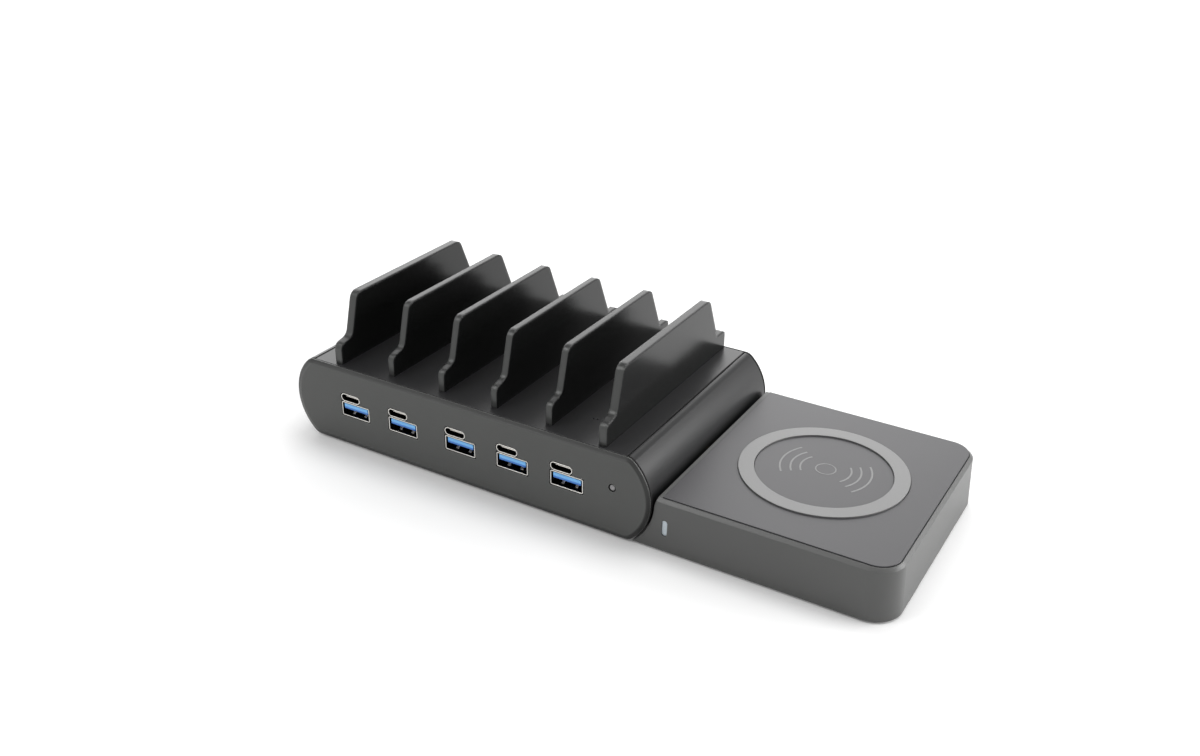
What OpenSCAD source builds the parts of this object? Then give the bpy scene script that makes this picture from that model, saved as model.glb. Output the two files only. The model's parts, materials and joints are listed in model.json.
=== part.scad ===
// Desktop charging station: a low housing with round ends, six upright dividers
// standing in its deck, paired power outlets along its front and a flat wireless
// pad nested against its right end. X runs along the front, Y to the back, Z up.
// The origin is the middle of the footprint on the table.

/* [Housing] */
// Width of the housing across its two curved ends
body_w = 154.8; // [152:0.2:158]
// Depth of the housing from front face to back face
body_d = 94.2; // [92:0.2:98]
// Height of the housing above its feet
body_h = 32.2; // [31.6:0.2:33]
// Radius of the curved ends, seen from the front
end_r = 20.3; // [19.7:0.1:21]
// Radius where a curved end meets the flat top or bottom
corner_r = 4; // [3.4:0.2:4.4]
// Wall thickness of the housing
wall = 2.2; // [2:0.1:2.4]
// Height of the rubber feet under the housing and the pad
foot_h = 0.8; // [0.6:0.1:1.4]
// Radius of a rubber foot
foot_r = 5; // [4:0.5:6]
// Depth of the pocket that holds a foot
foot_pocket = 0.6; // [0.4:0.1:0.8]
// Distance of the housing feet from the ends of the housing
foot_from_end = 19.4; // [18:0.2:23]
// Distance of the housing feet from the front and back faces
foot_from_face = 11.1; // [9.1:0.2:15.1]

/* [End panels] */
// Width of the sloped band round the edge of a panel
bevel_w = 2; // [1.4:0.1:2.4]
// How far the sloped band falls back
bevel_d = 0.6; // [0.4:0.1:0.7]
// Thickness of the visible plate at its rim
rim_t = 0.95; // [0.8:0.05:1.2]
// Width of the parting groove behind a panel and beside the deck
groove_w = 0.35; // [0.3:0.05:0.5]
// Depth of the parting groove behind a panel
groove_d = 0.7; // [0.5:0.1:1]
// Full thickness of a panel where it plugs into the housing
panel_t = 3; // [2.8:0.1:3.4]

/* [Deck] */
// How far the deck seam sits beyond the flat top, towards a curved end
seam_out = 0.13; // [0:0.01:0.25]
// Thickness of the deck plate
deck_t = 2.4; // [2:0.1:2.6]
// Thickness of the ledge that carries the deck plate
ledge_t = 2; // [1.6:0.1:2.4]
// How far the ledge reaches under the deck plate
ledge_w = 3; // [2.4:0.2:3.4]
// Radius of the two pin holes in the deck
pinhole_r = 0.4; // [0.3:0.05:0.5]
// Distance of the first pin hole from the fifth divider
pinhole_x = 10.65; // [9.05:0.1:12.05]
// Spacing of the two pin holes
pinhole_step = 1.4; // [1.2:0.1:2]
// Distance of the pin holes from the front face
pinhole_y = 17; // [15:0.5:20]
// Length of a snap hook that holds the deck plate down
hook_l = 10; // [8:0.5:14]
// Thickness of a snap hook leg
hook_t = 1.4; // [1.2:0.1:1.8]
// Width of the catch on a snap hook
hook_w = 0.9; // [0.6:0.1:1]
// Height of the catch on a snap hook
hook_h = 1.4; // [1.2:0.1:1.8]

/* [Dividers] */
// Distance of the first divider from the left end of the housing
div_left = 20.55; // [20.05:0.1:22.05]
// Distance of the last divider from the right end of the housing
div_right = 19.75; // [19.65:0.1:22.05]
// Thickness of the four inner dividers
div_t = 2.5; // [2.3:0.1:2.8]
// Thickness of the two outer dividers
div_outer_t = 3.1; // [2.9:0.1:3.4]
// Height of the dividers above the deck
div_h = 25.4; // [24:0.2:40]
// Distance of an outer divider from the front face
div_front = 2.6; // [2:0.1:3.4]
// Distance of an outer divider from the back face
div_back = 1.7; // [1.5:0.1:3]
// How much further in an inner divider starts at the front
div_in_front = 2.5; // [1:0.1:3]
// How much further in an inner divider ends at the back
div_in_back = 2.8; // [1:0.1:3.5]
// Height of the front foot below its rounded knee
foot_front_h = 7.9; // [7:0.1:9]
// Length of the front foot up to the neck
foot_front_l = 6.6; // [6:0.1:7.5]
// Height of the neck where the upright starts
neck_h = 9.3; // [8.6:0.1:10.4]
// Backward lean of the front edge, in degrees
lean_front = 15; // [10:1:18]
// Forward lean of the back edge, in degrees
lean_back = 24; // [18:1:26]
// Height of the ledge at the foot of the back edge
foot_back_h = 7.4; // [6:0.1:8]
// Length of the ledge at the back
foot_back_l = 7; // [6:0.1:8]
// Radius of the knee at the front foot
knee_r = 2.6; // [2:0.1:3]
// Radius in the neck above the front foot
neck_r = 3.4; // [2.4:0.1:4]
// Radius of the top front corner
top_front_r = 3.6; // [3:0.1:5]
// Radius of the top back corner
top_back_r = 3.6; // [3:0.1:5]
// Radius of the corner of the back ledge
back_foot_r = 1.9; // [1.4:0.1:2.2]
// Radius in the corner above the back ledge
back_neck_r = 1; // [0.6:0.1:1.4]
// Length of a tab under a divider
tab_l = 16; // [12:0.5:20]
// Depth of a tab under a divider
tab_h = 6; // [5.4:0.1:6.6]
// Distance of the middle of a tab from the front or back face
tab_in = 23.1; // [19.1:0.5:27.1]
// How much thinner a tab is than its divider
tab_thin = 0.6; // [0.4:0.1:0.8]
// Depth of the guide walls round a tab slot, below the deck plate
guide_h = 2.6; // [2:0.1:3]
// Thickness of the guide walls round a tab slot
guide_t = 1.6; // [1.2:0.1:2]

/* [Outlets] */
// Distance of the first outlet column from the left end of the housing
port_left = 28.9; // [28.1:0.1:29.9]
// Distance of the last outlet column from the right end of the housing
port_right = 32.4; // [31.4:0.1:33.4]
// Extra space between the second and the third column
port_extra = 3.5; // [3:0.1:4]
// Width of a large outlet shell
usb_a_w = 13.1; // [13:0.05:13.2]
// Height of a large outlet shell
usb_a_h = 5.7; // [5.6:0.05:5.8]
// Height of the large outlets above the middle of the housing
usb_a_z = -0.8; // [-1:0.05:-0.6]
// Width of a small outlet shell
usb_c_w = 8.94; // [8.9:0.01:9]
// Height of a small outlet shell
usb_c_h = 3.16; // [3.1:0.02:3.26]
// Height of the small outlets above the middle of the housing
usb_c_z = 4; // [3.9:0.02:4.1]
// Sideways shift of the small outlets from the large ones
usb_c_shift = -2.2; // [-2.4:0.05:-2]
// Sheet thickness of the outlet shells
shell_t = 0.3; // [0.26:0.02:0.34]
// Length of the outlet shells
shell_l = 14; // [13:0.5:15]
// How far the outlet shells sit behind the front face
shell_back = 0.1; // [0.05:0.05:0.2]
// Dark gap between an outlet shell and the front panel
port_gap = 0.35; // [0.3:0.05:0.4]
// Width of the tongue in a large outlet
tongue_a_w = 11.1; // [10.8:0.1:11.3]
// Height of the tongue in a large outlet
tongue_a_h = 1.9; // [1.8:0.05:2]
// Height of that tongue above the middle of its outlet
tongue_a_z = 1.15; // [1.05:0.05:1.25]
// Length of the free part of a large tongue
tongue_a_l = 9; // [8.6:0.1:9.4]
// Width of the tongue in a small outlet
tongue_c_w = 6.7; // [6.6:0.05:6.8]
// Height of the tongue in a small outlet
tongue_c_h = 0.7; // [0.66:0.02:0.74]
// Length of the free part of a small tongue
tongue_c_l = 5.4; // [5:0.1:6]
// Depth of the solid base at the inner end of an outlet
tongue_base = 3.6; // [3:0.1:4]
// Distance of the indicator light from the right end of the housing
light_in = 14.4; // [14:0.1:15.4]
// Height of the indicator light above the middle of the housing
light_z = 2.8; // [2.4:0.1:3.2]
// Radius of the indicator lens
light_r = 1.3; // [1.1:0.05:1.5]
// Slope at the front edge of the indicator lens
light_round = 0.3; // [0.2:0.05:0.4]
// Dark gap round the indicator lens
light_gap = 0.2; // [0.1:0.05:0.25]
// How far the lens sits behind the front face
light_back = 0.35; // [0.2:0.05:0.5]

/* [Boards] */
// Thickness of the circuit boards
board_t = 1.6; // [1.4:0.1:1.8]
// Distance of the outlet board from the top and bottom of the housing
port_board_edge = 6.6; // [6.6:0.1:7.1]
// Distance of the outlet board from the left end of the housing
port_board_left = 15.4; // [13.4:0.5:17.4]
// Distance of the outlet board from the right end of the housing
port_board_right = 10.4; // [9.9:0.1:11.4]
// Distance of the outlet board screws from the ends of the housing
port_screw_in = 19.3; // [19:0.1:19.4]
// Distance of the outlet board screws from the top and bottom of the housing
port_screw_edge = 9.1; // [8.8:0.1:10.1]
// Radius of a screw post
post_r = 2.8; // [2.6:0.1:3]
// Distance of the power board from the left end of the housing
power_left = 17.4; // [16.4:0.5:19.4]
// Distance of the power board from the right end of the housing
power_right = 16.4; // [15.4:0.5:17.4]
// Gap between the outlet board and the power board
power_gap = 3.9; // [3.4:0.1:4.9]
// Distance of the power board from the back face
power_back = 27.1; // [26.1:0.5:28.1]
// Height of the posts under the power board
power_post_h = 4; // [3.4:0.1:4.2]
// Inset of the board screws from the board corners
screw_in = 4; // [3.6:0.1:4.5]

/* [Power parts] */
// Place of the transformer from the middle, along X
core_x = 12; // [10:0.5:14]
// Place of the transformer across the power board, as a share of its depth
core_y_share = 0.64; // [0.62:0.01:0.66]
// Width of the transformer core
core_w = 26; // [24:0.5:28]
// Depth of the transformer core, as a share of the depth of the power board
core_d_share = 0.25; // [0.23:0.01:0.27]
// Space between the transformer core and the divider tabs above it
core_space = 4.8; // [4.4:0.2:5.4]
// Width of the middle leg of the transformer core
core_leg = 8; // [7:0.5:8.5]
// Thickness of the outer legs and yokes of the core
core_rim = 3; // [2.8:0.1:3.2]
// How far the winding stands out of the core
winding_out = 3.6; // [3:0.2:4]
// Distance of the first large capacitor from the left end of the power board
cap_left = 10; // [8:0.5:11]
// Place of the large capacitors across the power board, as a share of its depth
cap_y_share = 0.77; // [0.76:0.01:0.78]
// Space between two large capacitors
cap_space = 1.6; // [1:0.2:2]
// Radius of a large capacitor, as a share of the depth of the power board
cap_r_share = 0.126; // [0.118:0.001:0.13]
// Space between a large capacitor and the divider tabs above it
cap_over = 4.8; // [4.4:0.2:6.4]
// Place of the small capacitors across the power board, as a share of its depth
small_cap_y_share = 0.16; // [0.15:0.01:0.18]
// Radius of a small capacitor
small_cap_r = 3.1; // [2.8:0.1:3.2]
// Height of a small capacitor
small_cap_h = 9; // [8:0.2:10]
// Space between the transformer and the heat sink
sink_space = 3; // [2:0.2:4]
// Distance of the heat sink from the right end of the power board
sink_right = 1; // [0.4:0.2:3]
// Place of the heat sink across the power board, as a share of its depth
sink_y_share = 0.56; // [0.54:0.01:0.58]
// Depth of the heat sink, as a share of the depth of the power board
sink_d_share = 0.42; // [0.38:0.01:0.44]
// Space between the heat sink and the divider tabs above it
sink_over = 5.4; // [4.4:0.2:6.4]
// Thickness of a heat sink fin
fin_t = 1.4; // [1.2:0.1:1.6]
// Number of heat sink fins
fin_count = 7; // [5:1:8]
// Distance of the choke ring from the left end of the power board
choke_left = 23; // [20:0.5:26]
// Place of the choke ring across the power board, as a share of its depth
choke_y_share = 0.45; // [0.44:0.01:0.46]
// Outer radius of the choke ring, as a share of the depth of the power board
choke_r_share = 0.156; // [0.14:0.002:0.158]
// Width of the choke ring section
choke_w = 3.8; // [3.4:0.1:4]
// Height of the choke ring section
choke_h = 6.4; // [6:0.1:7]

/* [Back panel] */
// Distance of the mains inlet from the end of the housing
inlet_in = 31.4; // [29.4:0.5:33.4]
// Width of the mains inlet flange
inlet_w = 31; // [30:0.2:32]
// Distance of the mains inlet flange from the top and bottom of the housing
inlet_edge = 4.1; // [3.9:0.1:4.4]
// Thickness of the mains inlet flange
inlet_t = 1.8; // [1.6:0.1:2]
// Corner radius of the inlet flange and the switch frame
flange_r = 1.2; // [0.8:0.1:1.5]
// Width of the mains inlet body
inlet_body_w = 27; // [26.6:0.1:27.4]
// How far the inlet flange reaches beyond its body, up and down
inlet_lip = 2; // [1.8:0.1:2.2]
// Depth of the mains inlet body
inlet_l = 21; // [20:0.5:22]
// Width of the plug cavity
cavity_w = 24; // [23.8:0.1:24.2]
// Thickness of the inlet walls above and below the plug cavity
inlet_wall = 1.8; // [1.6:0.1:1.9]
// Depth of the plug cavity
cavity_d = 17; // [16:0.5:18]
// Size of the sloped corners of the plug cavity
cavity_cut = 5.4; // [5:0.1:5.8]
// Spacing of an outer contact pin from the middle pin
pin_dx = 7; // [6.9:0.1:7.1]
// Height of the middle pin above the middle of the inlet
pin_dz = 2; // [1.9:0.1:2.1]
// Thickness of a contact pin
pin_w = 2; // [1.9:0.1:2.1]
// Height of a contact pin
pin_h = 4; // [3.9:0.1:4.1]
// Length of a contact pin inside the cavity
pin_l = 14.6; // [14:0.2:15]
// Length of the pin ends behind the inlet
lug_l = 7; // [6:0.5:8]
// Distance of the power switch from the mains inlet
switch_step = 28; // [26:0.5:30]
// Width of the power switch frame
switch_w = 15; // [14.6:0.2:15.4]
// Distance of the power switch frame from the top and bottom of the housing
switch_edge = 5.6; // [5.4:0.1:5.8]
// Depth of the power switch frame behind the panel
switch_l = 13; // [12.6:0.2:13.6]
// Thickness of the walls of the power switch frame
switch_wall = 1.6; // [1.5:0.1:1.7]
// Tilt of the rocker at rest, in degrees
rocker_tilt = 8; // [6:1:10]
// Distance of the rocker ends from the top and bottom of the switch frame
rocker_edge = 2.9; // [2.7:0.1:3.1]
// How far the rocker ends stand out from its pivot
rocker_rise = 3.3; // [3:0.1:3.4]
// How far the middle of the rocker face is dished
rocker_dish = 0.9; // [0.6:0.1:1.2]
// How far the rocker reaches behind its pivot
rocker_back = 4.5; // [4:0.1:5]
// Length of a rocker pivot pin
pivot_l = 1.3; // [1:0.1:1.4]
// Radius of the rocker pivot pins
pivot_r = 1.2; // [1.1:0.05:1.3]
// Running clearance round the pivot pins
pivot_gap = 0.06; // [0.04:0.01:0.08]
// Depth of the pivot behind the back face
pivot_in = 4.4; // [4.3:0.1:4.6]
// Distance of the back panel screws from the ends of the housing
back_screw_in = 11.4; // [11:0.1:11.8]
// Distance of the back panel screws from the top and bottom of the housing
back_screw_edge = 6.5; // [6.1:0.1:7.1]
// Distance of the first vent slot from the power switch
vent_start = 31.4; // [30.4:0.2:33.4]
// Distance from the last vent slot to the end of the housing, at least
vent_end = 20; // [18.4:0.4:24.4]
// Spacing of the vent slots
vent_step = 5.4; // [5:0.1:5.6]
// Width of a vent slot
vent_w = 2; // [1.6:0.1:2.4]
// Height of a vent slot
vent_h = 14; // [12:0.5:16]
// Number of vent slots in the floor, on each side of the middle one
floor_vents = 5; // [2:1:6]
// Length of a vent slot in the floor
floor_vent_l = 28; // [20:1:32]

/* [Screws] */
// Radius of a screw thread
screw_r = 1.25; // [1.2:0.05:1.4]
// Radius of a screw head
head_r = 2.4; // [2.2:0.1:2.6]
// Height of a screw head
head_h = 1.5; // [1.3:0.1:1.7]
// Length of a screw shank
screw_l = 6; // [5:0.5:7]
// Width of the cross recess in a screw head
cross_w = 0.6; // [0.5:0.1:0.8]
// Depth of the cross recess in a screw head
cross_d = 0.7; // [0.5:0.1:0.9]

/* [Wireless pad] */
// How far the pad reaches beyond the curved end of the housing
pad_w = 84.3; // [80.3:0.2:90.3]
// Depth of the pad at its foot
pad_d = 91.8; // [88.8:0.2:93.2]
// Height of the pad top above the middle of the housing
pad_up = 3.3; // [3:0.1:3.8]
// Gap between the curved end of the housing and the pad
pad_gap = 0.7; // [0.6:0.05:0.9]
// Radius of the two right corners of the pad
pad_corner = 10; // [8:0.5:12]
// How much further in the sides of the pad are at their top than at their foot
pad_draft = 0.9; // [0.5:0.1:1.2]
// Width of the sloped band round the pad top
band_w = 1.3; // [1:0.1:1.5]
// Height of the sloped band round the pad top
band_h = 1.15; // [0.9:0.05:1.4]
// How far the pad top plate stands above the sloped band
plate_up = 0.35; // [0.2:0.05:0.5]
// Slope of the pad edge above the gap
pad_slope = 0.9; // [0.6:0.1:1.5]
// Wall thickness of the pad
pad_wall = 2.4; // [2.2:0.1:2.6]
// Thickness of the pad top plate
pad_top_t = 1.6; // [1.4:0.1:1.8]
// Width of the ledge under the pad top plate
pad_ledge = 2.2; // [2:0.1:2.6]
// Width of the fine groove round the pad top plate
pad_seam = 0.2; // [0.15:0.05:0.3]
// Thickness of the pad base plate
base_t = 1.6; // [1.5:0.1:1.8]
// Inner radius of the silver ring
ring_in = 23.75; // [22:0.25:24]
// Outer radius of the silver ring
ring_out = 29.2; // [28:0.2:31]
// Thickness of the silver ring
ring_t = 0.5; // [0.4:0.1:0.6]
// Gap round the silver ring
ring_gap = 0.15; // [0.1:0.05:0.2]
// How far the silver ring stands out of the pad top
ring_up = 0.5; // [0.1:0.05:0.6]
// Sideways shift of the silver ring from the middle of the pad top plate
ring_shift = -0.4; // [-1.4:0.1:0.6]
// Distance of the pad light from the left side of the pad
pill_in = 4.2; // [3.9:0.1:4.5]
// Height of the middle of the pad light below the middle of the housing
pill_low = 7.6; // [7.5:0.1:7.9]
// Width of the pad light
pill_w = 2; // [1.8:0.1:2.4]
// Height of the pad light
pill_h = 5.9; // [5.5:0.1:6.5]
// How far the pad light sits behind the front of the pad
pill_back = 0.45; // [0.2:0.05:0.6]
// Depth of the pad light pipe
pill_l = 8; // [7:0.5:9]
// Distance of the pad feet from the front and back of the pad
pad_foot_in = 10.6; // [8.6:0.5:12.6]
// Radius of a wire in the charging coil
wire_r = 0.9; // [0.8:0.05:0.95]
// Number of turns in the charging coil
turn_count = 8; // [6:1:9]
// Radius of the inner turn of the charging coil
coil_in = 9; // [8:0.5:10]
// Thickness of the magnetic shield under the coil
shield_t = 1; // [0.8:0.1:1.2]
// Width of the pad board
pad_board_w = 13; // [12:0.5:14]
// Distance of the pad board from the front and back of the pad
pad_board_in = 11.6; // [9.6:0.5:14.6]
// Height of the pad board below the middle of the housing
pad_board_low = 6.5; // [6.3:0.1:6.7]

/* [Dock] */
// Height of the dock contacts below the middle of the housing
dock_z = 2; // [1.6:0.1:2.4]
// Spacing of the dock contacts
dock_step = 6; // [5:0.2:7]
// Radius of a dock contact
dock_r = 1.4; // [1.2:0.1:1.5]
// Radius of a contact stud on the pad
dock_pin_r = 0.9; // [0.7:0.1:1]
// Gap between a contact stud and its contact
dock_gap = 0.1; // [0.05:0.05:0.2]
// Length of the dock magnets along Y
magnet_l = 12; // [10:0.5:13]
// Width of the dock magnets along X
magnet_w = 4; // [3.6:0.1:4.2]
// Height of the dock magnets
magnet_h = 4.2; // [4:0.1:4.3]
// Distance of the dock magnets from the middle, as a share of the pad depth
magnet_share = 0.247; // [0.235:0.001:0.258]

/* [Hidden] */
$fn = 72;
over = 0.5;
fit_gap = 0.3;
slot_gap = 0.15;
snug_gap = 0.05;
body_x = -pad_w / 2;
mid_z = foot_h + body_h / 2;
half_h = body_h / 2;
half_d = body_d / 2;
end_x = body_w / 2 - end_r;
corner_x = end_x + sqrt(pow(end_r - corner_r, 2) - pow(half_h - corner_r, 2));
corner_a = atan2(half_h - corner_r, corner_x - end_x);
shell_front = -half_d + rim_t + groove_w;
shell_d = body_d - 2 * (rim_t + groove_w);
floor_z = -half_h + wall;
deck_z = foot_h + body_h;
seam_x = corner_x + seam_out;
foot_x = body_w / 2 - foot_from_end;
foot_y = half_d - foot_from_face;
port_board_h = body_h - 2 * port_board_edge;
port_screw_z = half_h - port_screw_edge;
back_screw_z = half_h - back_screw_edge;
inlet_h = body_h - 2 * inlet_edge;
inlet_body_h = inlet_h - 2 * inlet_lip;
cavity_h = inlet_body_h - 2 * inlet_wall;
switch_h = body_h - 2 * switch_edge;
rocker_r = switch_h / 2 - rocker_edge;
port_step = (body_w - port_left - port_right - port_extra) / 4;
port_x = [for (i = [0:4]) port_left - body_w / 2 + i * port_step + (i > 1 ? port_extra : 0)];
light_x = body_w / 2 - light_in;
port_front = -half_d + shell_back;
board_front = port_front + shell_l;
light_l = board_front - board_t / 2 + half_d - light_back;
board_z = floor_z + power_post_h;
parts_z = board_z + board_t;
parts_room = half_h - tab_h - parts_z;
core_h = parts_room - core_space;
cap_h = parts_room - cap_over;
sink_h = parts_room - sink_over;
power_x = power_left - body_w / 2;
power_w = body_w - power_left - power_right;
power_y = board_front + board_t + power_gap;
power_d = half_d - power_back - power_y;
power_screws = [for (y = [screw_in, power_d - screw_in], x = [screw_in, power_w - screw_in])
  [power_x + x, power_y + y]];
port_screws = [for (z = [-port_screw_z, port_screw_z], s = [-1, 1]) [s * (body_w / 2 - port_screw_in), z]];
core_y = power_y + core_y_share * power_d;
core_d = core_d_share * power_d;
cap_y = power_y + cap_y_share * power_d;
cap_r = cap_r_share * power_d;
small_cap_y = power_y + small_cap_y_share * power_d;
sink_x = core_x + core_w / 2 + sink_space;
sink_w = power_x + power_w - sink_right - sink_x;
sink_y = power_y + sink_y_share * power_d;
sink_d = sink_d_share * power_d;
choke_y = power_y + choke_y_share * power_d;
choke_r = choke_r_share * power_d;
inlet_x = body_w / 2 - inlet_in;
switch_x = inlet_x - switch_step;
back_screw_x = body_w / 2 - back_screw_in;
vent_x = vent_start - switch_x;
vent_count = floor((body_w / 2 - vent_end - vent_x) / vent_step) + 1;
div_base_y = -half_d;
div_step = (body_w - div_left - div_right) / 5;
div_x = [for (i = [0:5]) div_left - body_w / 2 + i * div_step];
tab_y = half_d - tab_in;
pad_right = body_w / 2 + pad_w;
pad_arc_r = end_r + pad_gap;
pad_top_left = end_x + pad_arc_r + pad_slope;
pad_z = mid_z + pad_up;
rim_z = pad_z - plate_up;
side_z = rim_z - band_h;
plate_in = pad_draft + band_w;
top_left = pad_top_left + band_w;
base_rim = pad_wall / 2;
ring_x = (top_left + pad_right - plate_in) / 2 + ring_shift;
pill_z = mid_z - pill_low;
pill_front = -pad_d / 2 + side_in(pill_z) + pill_back;
pad_board_z = mid_z - pad_board_low;
pill_x = end_x + pad_arc_r + pill_in;
pad_foot_y = pad_d / 2 - pad_foot_in;
pad_board_l = pad_d - 2 * pad_board_in;
magnet_y = magnet_share * pad_d;
coil_z = pad_z - pad_top_t - 2 * wire_r;
shield_z = coil_z - shield_t;
coil_out = coil_in + 2 * wire_r * (turn_count - 1);
wire_overlap_share = 0.97;
wire_step = 2 * wire_r * wire_overlap_share;
core_window = core_w / 2 - core_leg / 2 - core_rim;
rocker_w = switch_w - 3 * switch_wall - 2 * fit_gap;
magnet_x = end_x + end_r - wall - magnet_w * 1.4;
dock_face = end_x + sqrt(pow(end_r, 2) - pow(dock_z + dock_r, 2)) - dock_gap;
pad_in_left = end_x + pad_arc_r + pad_wall;
pad_screw_at = [for (s = [-1, 1]) [pad_in_left + pad_board_w / 2, s * (pad_board_l / 2 - screw_in)]];
pad_x_feet = [end_x + pad_arc_r + pad_corner, pad_right - pad_corner - foot_r];

module at_body() translate([body_x, 0, mid_z]) children();
module at_table() translate([body_x, 0, 0]) children();
// Extrudes a drawing in X and Z towards the back
module along_y(start, len) translate([0, start + len, 0]) rotate([90, 0, 0]) linear_extrude(len) children();
// Extrudes a drawing in Y and Z to the right
module along_x(start, len) translate([start, 0, 0]) rotate([90, 0, 90]) linear_extrude(len) children();
module along_z(start, len) translate([0, 0, start]) linear_extrude(len) children();

// How far the pad's side stands in from its foot at height z
function side_in(z) = pad_draft * (z - foot_h) / (side_z - foot_h);
function unit(v) = v / norm(v);
function wrap(i, n) = (i + n) % n;

// A closed outline, listed anticlockwise, with a true arc in each corner
module soft_outline(pts, radii) {
  n = len(pts);
  a = [for (i = [0:n - 1]) unit(pts[wrap(i - 1, n)] - pts[i])];
  b = [for (i = [0:n - 1]) unit(pts[wrap(i + 1, n)] - pts[i])];
  half = [for (i = [0:n - 1]) acos(a[i] * b[i]) / 2];
  reach = [for (i = [0:n - 1]) radii[i] / tan(half[i])];
  mids = [for (i = [0:n - 1]) pts[i] + unit(a[i] + b[i]) * radii[i] / sin(half[i])];
  bulge = [for (i = [0:n - 1]) a[i][1] * b[i][0] - a[i][0] * b[i][1] > 0];
  difference() {
    union() {
      polygon([for (i = [0:n - 1]) each [pts[i] + a[i] * reach[i], pts[i] + b[i] * reach[i]]]);
      for (i = [0:n - 1]) if (bulge[i] && radii[i] > 0) translate(mids[i]) circle(radii[i]);
    }
    for (i = [0:n - 1]) if (!bulge[i] && radii[i] > 0) translate(mids[i]) circle(radii[i]);
  }
}

module soft_rect(w, h, r) {
  square([w - 2 * r, h], center = true);
  square([w, h - 2 * r], center = true);
  for (s = [-1, 1], t = [-1, 1]) translate([s * (w / 2 - r), t * (h / 2 - r)]) circle(r);
}

module pill(w, h) {
  d = min(w, h);
  square([w - (w > h ? d : 0), h - (h > w ? d : 0)], center = true);
  for (s = [-1, 1]) translate([s * (w - d) / 2, s * (h - d) / 2]) circle(d / 2);
}

// A pan-head screw with its head's underside at the origin, pointing down
module screw() {
  difference() {
    cylinder(head_h, head_r, head_r);
    for (t = [0, 1]) rotate(90 * t) translate([-head_r * 0.6, -cross_w / 2, head_h - cross_d])
      cube([head_r * 1.2, cross_w, cross_d + over]);
  }
  translate([0, 0, -screw_l]) cylinder(screw_l + head_h / 2, screw_r, screw_r);
}

// The part of the plane beyond a curved end's centre, between its two corners
module end_wedge(side) {
  far = 2 * end_r;
  translate([side * end_x, 0]) polygon([[0, 0], [side * far, -far * tan(corner_a)],
    [side * far, far * tan(corner_a)]]);
}

// The housing outline seen from the front, drawn inset by i
module body_outline(i) {
  square([2 * corner_x, body_h - 2 * i], center = true);
  for (s = [-1, 1]) {
    intersection() {
      translate([s * end_x, 0]) circle(end_r - i);
      end_wedge(s);
    }
    for (t = [-1, 1]) translate([s * corner_x, t * (half_h - corner_r)]) circle(corner_r - i);
  }
}

// The rim profile of a panel, out to radius r from an end's centre
module rim_profile(r) polygon([[0, 0], [r - bevel_w, 0], [r, bevel_d], [r, rim_t], [0, rim_t]]);
module rim_turn(r) rotate([-90, 0, 0]) rotate_extrude() rim_profile(r);

// A panel with its face at y = 0 looking to -Y, its sloped rim, groove and plug
module panel_blank() {
  along_x(-corner_x, 2 * corner_x) polygon([[0, -half_h + bevel_w], [bevel_d, -half_h], [rim_t, -half_h],
    [rim_t, half_h], [bevel_d, half_h], [0, half_h - bevel_w]]);
  for (s = [-1, 1]) {
    intersection() {
      translate([s * end_x, 0, 0]) rim_turn(end_r);
      along_y(-over, rim_t + 2 * over) end_wedge(s);
    }
    for (t = [-1, 1]) translate([s * corner_x, 0, t * (half_h - corner_r)]) rim_turn(corner_r);
  }
  along_y(rim_t, groove_w) body_outline(groove_d);
  along_y(rim_t + groove_w, panel_t - rim_t - groove_w) difference() {
    body_outline(wall + snug_gap);
    translate([0, half_h]) square([2 * seam_x, 2 * (deck_t + snug_gap)], center = true);
  }
}

// A bar that stands in the housing behind the back panel, drawn in X and Z
module back_bar() along_y(half_d - panel_t - 2 * screw_l, 2 * screw_l) children();

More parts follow.
